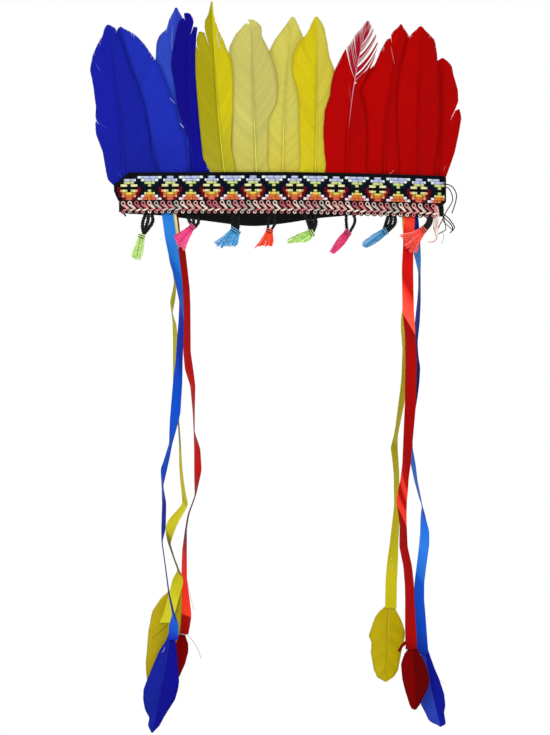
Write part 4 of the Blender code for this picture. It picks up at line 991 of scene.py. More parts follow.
def elastic_run(height):
    """The elastic as a smooth closed strip with raised cords along it."""
    thick, corner = ELASTIC_THICK, ELASTIC_CORNER
    depth = FELT_DEPTH + FELT_THICK + GAP + thick / 2
    radius = BAND_RADIUS - depth
    half_depth = BAND_FRONT - depth
    centre_y = -BAND_FRONT + BAND_RADIUS
    bend = math.acos((radius - half_depth) / (radius - corner))
    corner_x = (radius - corner) * math.sin(bend)
    path = []
    for angle in np.linspace(-bend + ELASTIC_LAP / radius, -bend, 14):
        path.append((radius * math.sin(angle), centre_y - radius * math.cos(angle)))
    for angle in np.linspace(bend, math.pi - bend, 40)[1:-1]:
        path.append((-corner_x - corner * math.sin(angle), -corner * math.cos(angle)))
    for angle in np.linspace(-bend, bend, 180):
        path.append((radius * math.sin(angle), -centre_y + radius * math.cos(angle)))
    path += [(-x, y) for x, y in reversed(path[:52])]
    path = np.array(path)
    half = corner_x + corner
    sag = np.where(path[:, 1] > 0, smooth_strap(path[:, 0] / half), 0.0)
    foot = 2.0 * MM - STRAP_SAG * sag
    tangent = unit(np.gradient(path, axis=0))
    normal = np.column_stack([tangent[:, 1], -tangent[:, 0]])
    t = np.linspace(0, 1, 4 * ELASTIC_RIBS + 1)
    rib = 0.5 * thick - RIB_DEPTH * (1 - np.abs(np.sin(np.pi * ELASTIC_RIBS * t)))
    rib[[0, -1]] = 0.32 * thick
    grids = []
    for side in (1, -1):
        xy = path[:, None] + side * normal[:, None] * rib[None, :, None]
        z = foot[:, None] + height * t[None]
        grids.append(np.concatenate([xy, z[:, :, None]], axis=2))
    return shell(grids[0], grids[1], linear("#0c0c0e"))


def smooth_strap(share):
    """How far the elastic sags at a share of its half width, with the corners of its line rounded."""
    rows = np.asarray(STRAP_LINE)
    fine = np.linspace(-1, 1, 401)
    return np.interp(share, fine, smoothed(np.interp(fine, rows[:, 0], rows[:, 1]), 9.0, 30))


# Colours of the crocheted edge, one loop after another
BRAID = ["#e4b0a8", "#ead4c4", "#cc8084", "#c0b8b0", "#d87880", "#ecd8c8", "#dca49c", "#b0b4a8", "#d08c8c", "#e8c8bc",
         "#b45c68"]
# Levels of its eye loops, spine and lower loops, and thickness of the yarn in each part in mm
EYE_LEVEL = 9.7 * MM
SPINE_LEVEL = 4.9 * MM
LOOP_LEVEL = 2.3 * MM
YARN_SIZES = {"eye": 0.95, "limb": 0.78, "loop": 0.85, "under": 1.1}


class HEADDRESS_OT_braid(bpy.types.Operator):
    """Crochet the edge: eye loops, slanting tails, a plaited spine and small loops below"""
    bl_idname = "headdress.braid"
    bl_label = "Crocheted edge"

    def execute(self, context):
        settings = context.scene.headdress
        rng = np.random.default_rng(settings.seed + 3)
        left, right = BRAID_LEFT, BRAID_RIGHT
        pitch = settings.loop_pitch
        count = int((right - left) / pitch)
        groups = {key: [] for key in YARN_SIZES}
        shades = {key: [] for key in groups}

        def put(key, points, colour, number, pair=0.0):
            """Lay one run of yarn, or a pair so far apart in mm."""
            line = resample(points, number)
            steps = np.gradient(line, axis=0)
            aside = unit(np.column_stack([-steps[:, 2], 0 * steps[:, 0], steps[:, 0]]))
            for shift in ((-pair, pair) if pair else (0.0,)):
                strand = line + aside * shift * MM
                strand[:, 1] = bowed_y(strand[:, 0], 0.0) + line[:, 1]
                strand[:, 2] -= band_sink(strand[:, 0])
                groups[key].append(strand)
                shades[key].append(np.repeat((linear(colour) * (1 + rng.normal(0, 0.08)))[None], number, 0))

        def near(*points):
            """Points given as steps in mm across, back and up from this loop's x and a level."""
            return [(x + across * MM, back * MM, level + up * MM) for across, back, level, up in points]

        for i in range(count):
            x = left + (i + 0.5) * pitch
            tilt = GIMP_TILT * (x - left) / (right - left)
            jog = rng.normal(0, 0.15 * MM, 4)
            colour, other, third = (BRAID[n % len(BRAID)] for n in (i * 5, i * 3 + 4, i * 7 + 2))
            eye = EYE_LEVEL + jog[0]
            spine = SPINE_LEVEL - tilt * 0.6 + jog[1]
            loop = LOOP_LEVEL - tilt
            put("eye", [
                (x + jog[2] + 1.45 * MM * math.cos(a), -0.35 * MM - 0.3 * MM * math.sin(a),
                 eye + 1.6 * MM * math.sin(a)) for a in np.linspace(-0.9, 4.9, 12)
            ], colour, 18)
            put("limb", near((-0.6, -0.2, eye, -1.5), (1.2, -0.9, eye, -2.5), (3.2, -0.8, spine, 1.0),
                             (5.0, -0.1, spine, 0.1)), colour, 10, 0.36)
            put("limb", near((1.6, -0.1, eye, -0.7), (2.4, -0.5, eye, -2.0), (4.0, -0.3, spine, 1.6)), other, 8)
            put("limb", near((4.9, 0.0, spine, 0.9), (3.2, -0.6, spine, -0.3), (1.2, -0.7, spine, -1.1),
                             (-0.6, 0.0, spine, -1.5)), third, 10, 0.36)
            put("loop", [
                (x + jog[3] + 1.2 * MM * math.cos(a), -0.45 * MM, loop + 1.1 * MM * math.sin(a))
                for a in np.linspace(2.4, 7.0, 9)
            ], other, 14)
            put("under", near((-2.7, 0.3, loop, 0.6), (-1.3, 0.1, loop, -1.0), (0.2, 0.0, loop, -1.7),
                              (1.7, 0.1, loop, -1.0), (3.0, 0.3, loop, 0.6)), "#140c0e", 14)
        material = yarn_material("Crocheted edge, shaded acrylic yarn", EDGE_FIBRE, 0.8, 0.0, 0.15)
        parts = []
        for key, lines in groups.items():
            by_length = {}
            for line, shade in zip(lines, shades[key]):
                by_length.setdefault(len(line), []).append((line, shade))
            for rows in by_length.values():
                runs, tones = zip(*rows)
                parts.append(strands(runs, FRONT, YARN_SIZES[key] * MM, 1.0, tones, 5, material))
        # dark maroon backing in the gaps between the loops: partly the braid's dark base yarn, partly painted shade in
        # the gaps
        x = np.linspace(left - 1.0 * MM, right + 1.0 * MM, 90)
        share = np.clip((x - left) / (right - left), 0, 1)
        low = 2.0 * MM - GIMP_TILT * share
        high = np.full(len(x), TRIM_FOOT - 0.2 * MM)
        parts.append(slab(x, low, high, 0.15 * MM, 1.1 * MM, 1, linear("#1e0a10")))
        make_piece("Crocheted_edge", parts, material, ["gimp_braid"])
        return {"FINISHED"}


# ---------------------------------------------------------------- ribbons

# Ways down of the ribbons: drop in hundredths of the length, sway in hundredths of the full sway, twist in degrees
PATHS = {
    "blue_left": [
        (0, -43, 0), (6, -12, 12), (11, 22, 35), (16, 57, 52), (21, 82, 72), (25.5, 80, 66), (28.5, 75, 60),
        (35, 62, 55), (40, 49, 38), (47, 30, 32), (54, -10, 76), (58, -48, 65), (60, -70, 58), (64, -83, 85),
        (68, -68, 72), (74, -74, 70), (77, -87, 88), (82, -61, 88), (89, -27, 86), (94, 14, 80), (96.6, 16, 38),
        (100, 10, 34)],
    "yellow_left": [
        (0, -16, 0), (5, 8, 12), (8, 8, 24), (12, 8, 52), (14.5, 21, 72), (17, 23, 84), (19, 18, 76), (21.6, 2, 67),
        (24.4, -4, 88), (27, 18, 75), (31.6, 30, 65), (41.5, 26, 68), (51.7, 56, 85), (56, 66, 84),
        (61.6, 73, 78), (65.5, 85, 75), (69, 103, 72), (70.9, 112, 62), (72.1, 88, 50), (73.6, 48, 34),
        (75.1, 9, 12), (76.7, -13, 30), (78.3, -23, 52), (80.6, -27, 82), (84.1, 14, 86), (87.2, 55, 84),
        (90.3, 44, 6), (98, -32, 3), (100, -66, 2)],
    "red_left": [
        (0, 0, 0), (3, 14, 12), (5.5, 22, 22), (7, 36, 36), (9, 68, 30), (18, 113, 45), (22, 122, 50),
        (33, 126, 52), (37, 144, 46), (41, 177, 66), (47, 185, 82), (52, 189, 88), (56, 216, 60), (61, 222, 52),
        (67, 200, 86), (71.5, 139, 84), (75, 117, 84), (80, 104, 69), (87, 100, 62), (92.5, 112, 38),
        (95.5, 118, 22), (98.3, 100, 4), (100, 87, 2)],
    "red_right": [
        (0, 0, 0), (8, -14, 20), (13, -20, 8), (22.5, -14, 5), (28, 3, 24), (34, 12, 5), (44, 5, 15),
        (53.9, -20, 38), (57.6, -29, 43), (61.2, -47, 44), (63.4, -58, 31), (66, -71, 25), (68.9, -65, 44),
        (71.4, -58, 52), (76.5, -55, 44), (80.9, -19, 41), (85.3, -3, 37), (89, 0, 36), (94, 5, 22), (98, 11, 4),
        (100, 13, 2)],
    "yellow_right": [
        (0, -21, 0), (2.5, -17, 0), (5, -11, 12), (8.6, -8, 34), (22.4, -16, 50), (26.5, -41, 50), (29.3, -41, 50),
        (34.4, -28, 52), (41.3, -41, 58), (44.8, -51, 56), (48.2, -68, 58), (53.8, -101, 68), (56.6, -119, 68),
        (59.4, -132, 52), (61.8, -123, 57), (65.8, -111, 61), (73.8, -108, 62), (77.8, -116, 52),
        (83.8, -133, 41), (89.8, -150, 14), (93, -157, 6), (97.5, -160, 4), (100, -161, 2)],
    "blue_right": [
        (0, 22, 0), (4, 40, 14), (7.7, 59, 37), (10.8, 77, 59), (13.3, 89, 78), (17, 89, 78), (20, 85, 72),
        (24.7, 70, 65), (29.3, 52, 66), (32.4, 56, 62), (35, 69, 57), (38.6, 59, 55), (41.7, 47, 60),
        (46, 24, 66), (50, 9, 68), (53.3, 11, 68), (57, 34, 65), (60.8, 59, 74), (64.4, 93, 80), (66.3, 113, 88),
        (67.9, 118, 71), (69.8, 124, 58), (72.3, 136, 37), (75.1, 131, 27), (80.5, 104, 31), (83.8, 88, 31),
        (87.7, 84, 22), (91.3, 95, 18), (94.9, 103, 8), (98.5, 114, 4), (100, 118, 2)],
}

# Name, hang line, layer, spread back in mm, start of the spread, length in mm, how far its folds slant across it
# in hundredths of the length
RIBBONS = [
    ("blue_left", LEFT_HANG, 0, -4.0, FRONT_START, 372.4, 5.6),
    ("yellow_left", LEFT_HANG, 1, 8.0, 0.0, 358.4, 2.0),
    ("red_left", LEFT_HANG, 2, 20.0, 0.0, 368.9, 2.0),
    ("red_right", RIGHT_HANG, 0, -1.0, FRONT_START, 381.0, 4.9),
    ("yellow_right", RIGHT_HANG, 2, 17.0, BACK_START, 346.2, 2.0),
    ("blue_right", RIGHT_HANG, 1, 10.5, 0.0, 386.2, 2.5),
]

# Colours down each ribbon as its turns and folds catch the light: drop in hundredths of the length, colour
LIGHT_RUNS = {
    "blue_left": [
        (0, "#2074cc"), (5, "#2c7cd4"), (11, "#2070c8"), (14, "#1456b8"), (20, "#104eb4"), (22.4, "#205abc"),
        (22.6, "#0828a0"), (34, "#06289a"), (38, "#0a42b8"), (50, "#0d4cc4"), (60, "#0a44b8"), (66, "#0a3cb0"),
        (67, "#06208c"), (78, "#06208c"), (80, "#061a70"), (93, "#082484"), (95, "#1a5cd0"), (97.5, "#1850c4"),
        (100, "#1424a4")],
    "yellow_left": [
        (0, "#eeeaa8"), (8, "#d8d26c"), (14, "#b8b43c"), (18, "#a8a41c"), (24, "#b0ac20"), (28, "#bab420"),
        (40, "#c4bc30"), (50, "#b0ac14"), (51, "#78740c"), (56, "#7c780c"), (58, "#bcb420"), (69, "#c0b820"),
        (70.6, "#a8a010"), (71.2, "#ccc42c"), (78, "#c0b820"), (79, "#8c8810"), (81, "#504c08"), (87, "#5c5808"),
        (88, "#b8b018"), (95, "#d0c824"), (100, "#d8d02c")],
    "red_left": [
        (0, "#7c0404"), (8, "#980606"), (18, "#a00606"), (30, "#a40808"), (40, "#b00a0a"), (50, "#8c0404"),
        (52, "#a40606"), (60, "#bc0a0a"), (66, "#8c0404"), (68, "#4c0202"), (76, "#540202"), (79, "#a00808"),
        (82, "#d01c14"), (89, "#e8301c"), (95.3, "#f03c24"), (95.6, "#a00808"), (100, "#980606")],
    "red_right": [
        (0, "#e03020"), (3, "#f04030"), (5, "#e02c20"), (9, "#b80808"), (12, "#c40a08"), (17, "#b80a08"),
        (18.8, "#e8301c"), (21, "#f84836"), (25.5, "#ff5644"), (25.7, "#900404"), (34, "#a00404"), (45, "#980000"),
        (58, "#980000"), (61.2, "#b00808"), (62, "#e83420"), (63.5, "#e03024"), (64.3, "#a80404"), (65.8, "#a80404"),
        (66.8, "#e03020"), (69.5, "#e83c30"), (69.8, "#900202"), (85, "#9c0202"), (97, "#980202"), (100, "#780000")],
    "yellow_right": [
        (0, "#ece89c"), (4, "#d4cc54"), (20, "#d0c83a"), (27, "#dcd454"), (34, "#d0c842"), (40, "#c0b820"),
        (50, "#c8c01c"), (57.5, "#ccc42c"), (58.5, "#b4ac14"), (62, "#c0b818"), (80, "#c0b818"), (92, "#c4bc18"),
        (100, "#bcb414")],
    "blue_right": [
        (0, "#0a1c60"), (5, "#0c2c80"), (7, "#3474b4"), (12.8, "#3070b0"), (13.4, "#0a2478"), (20, "#04207c"),
        (30, "#041660"), (40, "#040c48"), (46, "#081c68"), (50, "#1450b8"), (60, "#2c5cac"), (68, "#0c48b8"),
        (69, "#1a66d0"), (76, "#2c78dc"), (82.5, "#1e64c8"), (83, "#0c4cc0"), (95, "#0a40b0"), (100, "#0a309c")],
}


# Satin ribbon: rows down it, places across it (closer at its two woven edges), how far it cups, half its thickness
# in the middle and at the edges, and the small wave along it
RIBBON_ROWS = 340
RIBBON_PLACES = np.array([-0.5, -0.47, -0.32, -0.1, 0.1, 0.32, 0.47, 0.5])
RIBBON_CUP = 0.35 * MM
RIBBON_HALF = 0.11
RIBBON_EDGE_HALF = 0.17
RIBBON_WAVE = 0.5 * MM


def ribbon_lie(spec, drop):
    """Centre points and twists of a ribbon at these drops, shares of its length."""
    name, hang, layer, spread, start, length, _ = spec
    sway, twist = smooth_table(PATHS[name], 0.004)(np.clip(drop, 0, 1))
    x = hang + RIBBON_SWAY * sway
    z = RIBBON_TOP - drop * length * MM
    t = np.clip((-z - start) / SPREAD_RUN, 0, 1)
    y = bowed_y(x, LAYER_FIRST + layer * LAYER_PITCH) + spread * MM * t * t * (3 - 2 * t)
    bow = np.arcsin(x / BAND_RADIUS) * np.clip(1 + z / SPREAD_RUN, 0, 1)
    return np.stack([x, y, z], -1), np.radians(twist * 100) + bow


class HEADDRESS_OT_ribbons(bpy.types.Operator):
    """Hang the six satin ribbons with their turns and folds"""
    bl_idname = "headdress.ribbons"
    bl_label = "Satin ribbons"

    def execute(self, context):
        settings = context.scene.headdress
        material = satin_material()
        across = RIBBON_PLACES
        width = settings.ribbon_width
        for spec in RIBBONS:
            name, _, layer, _, _, length, slant = spec
            drop = np.concatenate([[-RIBBON_TUCK / (length * MM)], np.linspace(0, 1, RIBBON_ROWS)])
            free = np.clip(drop * 12, 0, 1) * np.clip((1 - drop) * 12, 0, 1)
            front, back = [], []
            for place in across:
                at = drop + slant / 100 * place * free
                centre, twist = ribbon_lie(spec, at)
                centre[:, 1] += RIBBON_WAVE * np.sin(at * 37 + layer) * free
                side = np.stack([np.cos(twist), np.sin(twist), 0 * twist], -1)
                normal = unit(np.cross(side, unit(np.gradient(centre, axis=0))))
                cup = RIBBON_CUP * (1 - (2 * place) ** 2)
                thick = (RIBBON_EDGE_HALF if abs(place) > 0.45 else RIBBON_HALF) * MM
                front.append(centre + side * place * width + normal * (cup + thick))
                back.append(centre + side * place * width + normal * (cup - thick))
            m, k = len(drop), len(across)
            places, codes = zip(*LIGHT_RUNS[name])
            tones = np.array([linear(code) for code in codes])
            tint = np.stack([np.interp(100 * drop, places, tone) for tone in tones.T], -1)[:, None]
            body = shell(np.stack(front, 1), np.stack(back, 1), tint * dye_change(settings, name))
            piece = make_piece(f"Ribbon_{name}", [body], material, [f"ribbon_{name}"])
            mesh = piece.data
            lie = mesh.uv_layers.new(name="UVMap")
            corner = np.zeros(len(mesh.loops), np.int32)
            mesh.loops.foreach_get("vertex_index", corner)
            at = corner % (m * k)
            uv = np.column_stack([(drop[at // k] * length * MM), across[at % k] * width])
            lie.data.foreach_set("uv", uv.astype(np.float32).ravel())
            outward(mesh)
        return {"FINISHED"}


# ---------------------------------------------------------------- tassels

# Tassels: number, slot, hang x, head step sideways and down, extra step forward, neck (x, z) and half its width,
# colour, cut end of the skirt as points (x, z), the two black strands it hangs on as points (x, z) and their
# radius; mm
TASSELS = [
    (1, "green", -114.0, -5.7, 18.3, 0.0, (-120.6, -19.6), 2.5, "#c0e486",
     [(-129.4, -35.8), (-127.6, -38.3), (-122.1, -39.3), (-120.4, -36.8)],
     [[(-115.7, 3.2), (-119.1, -4.8), (-119.8, -11.3), (-118.6, -16.8)],
      [(-112.7, 3.2), (-110.9, -5.3), (-114.2, -11.8), (-118.8, -17.3)]], 1.45),
    (2, "pink", -73.1, -4.4, 14.8, 6.0, (-76.7, -11.8), 2.3, "#f04488",
     [(-91.9, -19.0), (-89.5, -25.3), (-86.7, -28.8), (-82.5, -31.5)],
     [[(-79.7, 0.2), (-79.5, -4.3), (-75.5, -11.8)],
      [(-73.2, 0.2), (-70.9, -6.8), (-74.5, -12.3)]], 1.35),
    (3, "sky", -38.3, -2.6, 14.8, 0.0, (-38.9, -15.3), 4.2, "#4c9ed2",
     [(-56.7, -25.0), (-51.7, -29.6), (-47.2, -28.0), (-38.7, -28.4), (-36.6, -25.0)],
     [[(-40.7, 0.2), (-41.2, -7.8), (-40.7, -14.3)],
      [(-36.8, 0.2), (-36.3, -7.8), (-37.0, -14.3)]], 1.5),
    (4, "orange", -7.0, -2.6, 16.5, 0.0, (-9.3, -15.3), 2.6, "#ff4418",
     [(-21.2, -28.6), (-14.8, -27.6), (-6.8, -28.0), (-6.4, -24.3)],
     [[(-8.8, 0.2), (-10.5, -7.8), (-10.0, -14.6)],
      [(-5.3, 0.2), (-4.2, -7.8), (-8.0, -14.6)]], 1.1),
    (5, "green", 26.1, -0.9, 17.4, 0.0, (27.1, -16.8), 2.9, "#b4dc74",
     [(6.0, -22.6), (6.8, -25.6), (14.6, -24.5), (23.3, -24.3)],
     [[(22.0, 0.6), (24.6, -7.8), (27.1, -15.4)],
      [(29.4, 0.6), (31.1, -7.8), (28.5, -15.4)]], 1.6),
    (6, "magenta", 60.9, -2.6, 17.8, 0.0, (58.5, -16.8), 2.8, "#d8306e",
     [(43.9, -32.3), (45.6, -33.8), (48.4, -33.4)],
     [[(57.8, 2.7), (57.6, -6.8), (58.7, -16.1)],
      [(62.9, 2.7), (65.2, -6.3), (60.6, -16.1)]], 1.25),
    (7, "blue", 96.6, -6.5, 17.0, 0.0, (91.1, -15.4), 2.6, "#4896c8",
     [(72.2, -24.7), (72.0, -27.9), (76.8, -28.7)],
     [[(95.8, 2.7), (92.4, -7.8), (90.5, -14.2)],
      [(99.5, 2.7), (100.0, -7.8), (93.2, -15.4)]], 1.5),
    (8, "coral", 130.5, -7.0, 14.8, 6.0, (124.5, -14.0), 2.8, "#ff5240",
     [(104.2, -18.2), (107.6, -23.1), (108.7, -28.4), (114.8, -34.2), (119.0, -34.7)],
     [[(129.5, 2.7), (128.7, -6.8), (123.4, -12.9)],
      [(132.7, 2.7), (131.4, -7.8), (125.9, -14.8)]], 1.35),
]


# Points along a skirt's strand, its folded top above the neck, and how far a skirt's strands lie apart in depth
SKIRT_POINTS = 15
FOLDED_TOP = 2.4 * MM
SKIRT_DEPTH = 1.3 * MM
# The crocheted cord: length of one full twist and of one stitch, its loose fibres, and the radius in mm from which
# a third strand fills it
CORD_TWIST = 4.2 * MM
CORD_STITCH = 1.15 * MM
CORD_FUZZ = 46
THICK_CORD = 1.3


def tassel_head(spec):
    """The middle of a tassel's head."""
    hang, step, fall, ahead = spec[2:6]
    x = hang * MM
    y = float(bowed_y(x, LAYER_FIRST + LAYER_PITCH))
    return np.array([x + step * MM, y - TASSEL_FORWARD - ahead * MM, -fall * MM])


def along_line(points, share):
    """Places on a run of (x, z) points at shares of its length."""
    points = np.asarray(points, float) * MM
    steps = travelled(points)
    return np.column_stack([np.interp(share * steps[-1], steps, points[:, k]) for k in (0, 1)])


class HEADDRESS_OT_tassels(bpy.types.Operator):
    """Tie the eight tassels: crocheted black cords, wrapped necks and skirts of loose strands"""
    bl_idname = "headdress.tassels"
    bl_label = "Tassels"

    def execute(self, context):
        settings = context.scene.headdress
        rng = np.random.default_rng(settings.seed + 4)
        cotton = yarn_material("Tassel cotton, loosely spun", COTTON_FIBRE, 0.85, 0.05, 0.15)
        corded = yarn_material("Black crocheted cord, glossy acrylic", CORD_FIBRE, 0.3, 0.0, 0.18)
        for spec in TASSELS:
            number, slot = spec[:2]
            neck, half, colour, ends, cords, radius = spec[6:]
            head = tassel_head(spec)
            parts = skirt_strands(settings, head, neck, half, linear(colour), ends, rng, cotton)
            make_piece(f"Tassel_{number}", parts, cotton, [f"tassel_{number}_skirt"])
            parts = crocheted_strands(settings, head, cords, radius, rng, corded)
            make_piece(f"Tassel_cord_{number}", parts, corded, [f"tassel_{number}_cord"])
        return {"FINISHED"}


def skirt_strands(settings, head, neck, half, base, ends, rng, material):
    """Loose strands from the tied neck to the cut end, and the folded tops over the neck."""
    count = settings.strands
    neck = np.array([neck[0], neck[1]]) * MM
    share = np.linspace(0, 1, count) + rng.normal(0, 0.02, count)
    end = along_line(ends, np.clip(share, 0, 1))
    centre = along_line(ends, np.array([0.5]))[0]
    axis = (centre - neck) / np.linalg.norm(centre - neck)
    turn = np.array([-axis[1], axis[0]])
    order = np.sign(np.dot(end[-1] - end[0], turn)) * (2 * share - 1)
    seat = neck + np.outer(order * half * MM, turn)
    reach = np.linalg.norm(end - neck, axis=1)[:, None]
    end = end + (end - seat) * rng.normal(-0.02, 0.035, (count, 1)) + rng.normal(0, 0.25 * MM, (count, 2))
    middle = seat + axis * reach * 0.22 + (end - seat) * 0.26 + np.outer(order * 0.9 * MM, turn)
    deep = rng.uniform(-1, 1, count)
    y = head[1]
    paths = []
    for i in range(count):
        depth = deep[i] * SKIRT_DEPTH
        paths.append(resample([
            (seat[i, 0] - axis[0] * FOLDED_TOP, y + depth * 0.5, seat[i, 1] - axis[1] * FOLDED_TOP),
            (seat[i, 0], y + depth * 0.6, seat[i, 1]),
            (middle[i, 0], y + depth - 1.2 * MM, middle[i, 1]),
            (end[i, 0], y + depth * 1.3 - SKIRT_FORWARD, end[i, 1]),
        ], SKIRT_POINTS))
    t = np.linspace(0, 1, SKIRT_POINTS)
    curl = rng.normal(0, 0.16, (count, SKIRT_POINTS, 3)) * MM * np.clip(t * 4 - 0.8, 0, 1)[None, :, None]
    shade = np.clip(1 + rng.normal(0, 0.15, (count, 1, 1)), 0.6, 1.35)
    shade = shade * (1 + 0.14 * np.sin(t[None] * 26 + rng.uniform(0, 6.3, (count, 1))))[:, :, None]
    # painted shade just below the neck, darkest a quarter of the way down under the wraps; a little lighter towards the
    # cut ends
    shade = shade * np.interp(t, [0, 0.25, 0.4, 1], [0.95, 0.8, 1.0, 1.06])[None, :, None]
    # some strands mixed towards white from a third of the way down: partly paler yarn, partly painted highlights
    pale = rng.uniform(-0.25, 0.22, (count, 1, 1)).clip(0) * np.clip(t * 3 - 0.6, 0, 1)[None, :, None]
    tint = base * shade * (1 - pale) + pale
    parts = [strands(np.array(paths) + curl, FRONT, settings.strand_thick, 1.0, np.clip(tint, 0, 1), 5, material)]
    # light wraps in the skirt's colour lifted towards white: partly their own paler thread, partly a painted highlight
    rings = [neck_ring(neck, axis, turn, y, lift * MM, half + 0.45) for lift in (-1.9, -0.2)]
    parts.append(strands(rings, (0.0, 0.0, 1.0), 0.75 * MM, 1.0, np.clip(base * 1.15 + 0.08, 0, 1), 6, material))
    dark = [neck_ring(neck, axis, turn, y, lift * MM, half + 0.35) for lift in (-1.05, 0.65)]
    parts.append(strands(dark, (0.0, 0.0, 1.0), 0.6 * MM, 1.0, linear("#101216"), 6, material))
    return parts


def neck_ring(neck, axis, turn, y, lift, half):
    """One turn of thread round a neck, slanting a little."""
    line = []
    for a in np.linspace(0.0, 2 * math.pi, 25):
        flat = neck + axis * (lift + 0.3 * MM * math.cos(a)) + turn * half * MM * math.cos(a)
        line.append((flat[0], y - 1.7 * MM * math.sin(a), flat[1]))
    return np.array(line)


def crocheted_strands(settings, head, cords, radius, rng, material):
    """Two or three thick crocheted strands down to the neck, with loose fuzz."""
    plies, fuzz = [], []
    y_low = head[1]
    if radius > THICK_CORD:
        cords = cords + [[tuple((np.array(a) + np.array(b)) / 2) for a, b in zip(*cords)]]
    for line in cords:
        x_top = line[0][0] * MM
        y_top = float(bowed_y(x_top, FELT_DEPTH * 0.55))
        heights = np.array([p[1] for p in line]) * MM
        share = np.clip((heights[0] - heights) / (heights[0] - heights[-1]), 0, 1)
        route = resample([(p[0] * MM, y_top + (y_low - y_top) * t ** 1.2, p[1] * MM) for p, t in zip(line, share)], 60)
        travel = travelled(route)
        across = unit(np.cross(unit(np.gradient(route, axis=0)), -FRONT))
        pulse = 1 + 0.22 * np.sin(travel / CORD_STITCH * math.pi)
        for phase in np.arange(4) * math.pi / 2:
            angle = travel / CORD_TWIST * 2 * math.pi + phase
            reach = (0.62 * radius * MM * pulse)[:, None]
            plies.append(route + reach * (across * np.cos(angle)[:, None] - FRONT * np.sin(angle)[:, None]))
        for _ in range(CORD_FUZZ):
            i = rng.integers(6, 58)
            away = rng.normal(0, 1, 3)
            away /= np.linalg.norm(away)
            start = route[i] + away * radius * MM * 0.8
            bend = rng.normal(0, 0.5, 3) * MM
            fuzz.append(np.array([start, start + away * 0.6 * MM + bend * 0.4, start + away * 1.0 * MM + bend]))
    colour = np.array(settings.cord_colour)
    return [strands(plies, FRONT, 0.95 * radius * MM, 1.0, colour, 6, material),
            strands(fuzz, FRONT, 0.22 * MM, 1.0, colour * 1.5, 4, material)]


# ---------------------------------------------------------------- loose threads

# Loose threads at the band's ends: colour, thickness in mm, how far they lie before the band in mm, points (x, z) in mm
LOOSE_ENDS = [
    ("#44080e", 1.1, (1.0,), [(141.7, 26.9), (149.6, 24.8), (153.8, 18.5), (153.6, 12.2), (151.7, 5.9), (150.1, 1.1)]),
    ("#4c0a12", 1.0, (1.0,), [
        (141.7, 23.8), (147.4, 22.7), (150.6, 15.3), (149.8, 10.1), (145.3, 2.7), (141.1, -5.7), (138.0, -12.1)]),
    ("#101012", 1.15, (1.0,), [
        (141.1, 5.9), (142.7, 0.6), (147.4, -3.6), (151.9, -10.0), (151.7, -12.6), (148.5, -16.1)]),
    ("#101012", 1.05, (1.0,), [(140.6, 3.7), (143.2, -2.6), (148.5, -7.8), (150.6, -11.5), (150.2, -14.0)]),
    ("#141416", 0.9, (1.0,), [(142.2, -1.5), (143.8, -6.8), (144.5, -11.5), (144.3, -13.6), (138.0, -17.1)]),
    ("#1a1a1c", 0.8, (1.0,), [(142.0, -2.6), (142.8, -6.3), (147.4, -10.5), (149.8, -13.1)]),
    ("#dcb4a4", 1.1, (1.0,), [
        (135.9, 8.0), (137.4, 0.6), (136.9, -8.9), (135.6, -16.3), (136.4, -20.5), (134.6, -23.7), (129.3, -24.3)]),
    ("#c89890", 1.0, (1.0,), [
        (134.3, 5.9), (135.9, -1.5), (135.9, -8.9), (134.6, -14.2), (136.9, -19.4), (135.9, -22.6), (131.6, -24.2)]),
    ("#e8d0c0", 0.9, (1.0,), [(137.4, 6.9), (138.5, -0.5), (138.2, -7.8), (137.4, -13.1), (138.0, -18.4)]),
    ("#b88880", 0.8, (1.0,), [(135.3, 3.7), (134.6, -4.7), (134.0, -12.1), (135.0, -15.4)]),
    ("#a8a8a8", 0.6, (1.0,), [(140.3, -14.7), (142.4, -17.3), (142.6, -21.6), (140.9, -25.3)]),
    ("#0c0c0e", 2.2, (1.0,), [(140.3, 10.1), (141.7, 6.9), (142.0, 2.7), (141.1, 0.6)]),
    ("#141418", 1.3, (0.6, 0.8, 0.6), [(-138.0, 3.0), (-136.2, 0.6), (-134.6, -1.8)]),
    ("#101014", 1.1, (0.6, 0.8, 0.6), [(-136.8, 1.5), (-135.4, -0.6), (-134.0, -0.4)]),
]

# Fine hairs, threads and pale marks that lie on the ribbons and their feathers, and one dark line of painted shadow:
# colour, thickness, points in mm
STRAY_HAIRS_AND_PAINTED_SHADOW = [
    ("#8890a0", 0.3, [(-81.0, -9.6, -320.0), (-79.2, -10.4, -330.0), (-77.6, -10.0, -337.0), (-75.4, -9.6, -346.0)]),
    ("#30343c", 0.34, [(-82.0, -9.8, -367.0), (-77.0, -10.4, -372.0), (-72.0, -10.4, -380.0), (-69.2, -10.0, -388.0)]),
    ("#b0b0bc", 0.22, [(139.4, -11.6, -407.0), (142.5, -12.4, -409.4), (146.0, -12.0, -411.3)]),
    ("#d8ccd4", 0.5, [(-90.0, -9.6, -366.4), (-86.0, -10.2, -366.9), (-81.4, -9.6, -367.8)]),
    ("#ece8b0", 0.4, [(98.0, -10.4, -300.8), (96.2, -10.8, -305.4), (98.6, -10.8, -308.2), (96.0, -10.4, -313.4)]),
    # dark olive line: painted shadow where the barbs of the small yellow feather on the left ribbons overlap
    ("#5c540c", 0.3, [(-98.7, -19.4, -358.9), (-105.5, -19.3, -364.6), (-112.0, -18.7, -370.6)]),
    ("#a8a8b4", 0.5, [(-100.4, -33.8, -377.2), (-101.2, -34.0, -379.6), (-102.6, -33.8, -381.4)]),
]


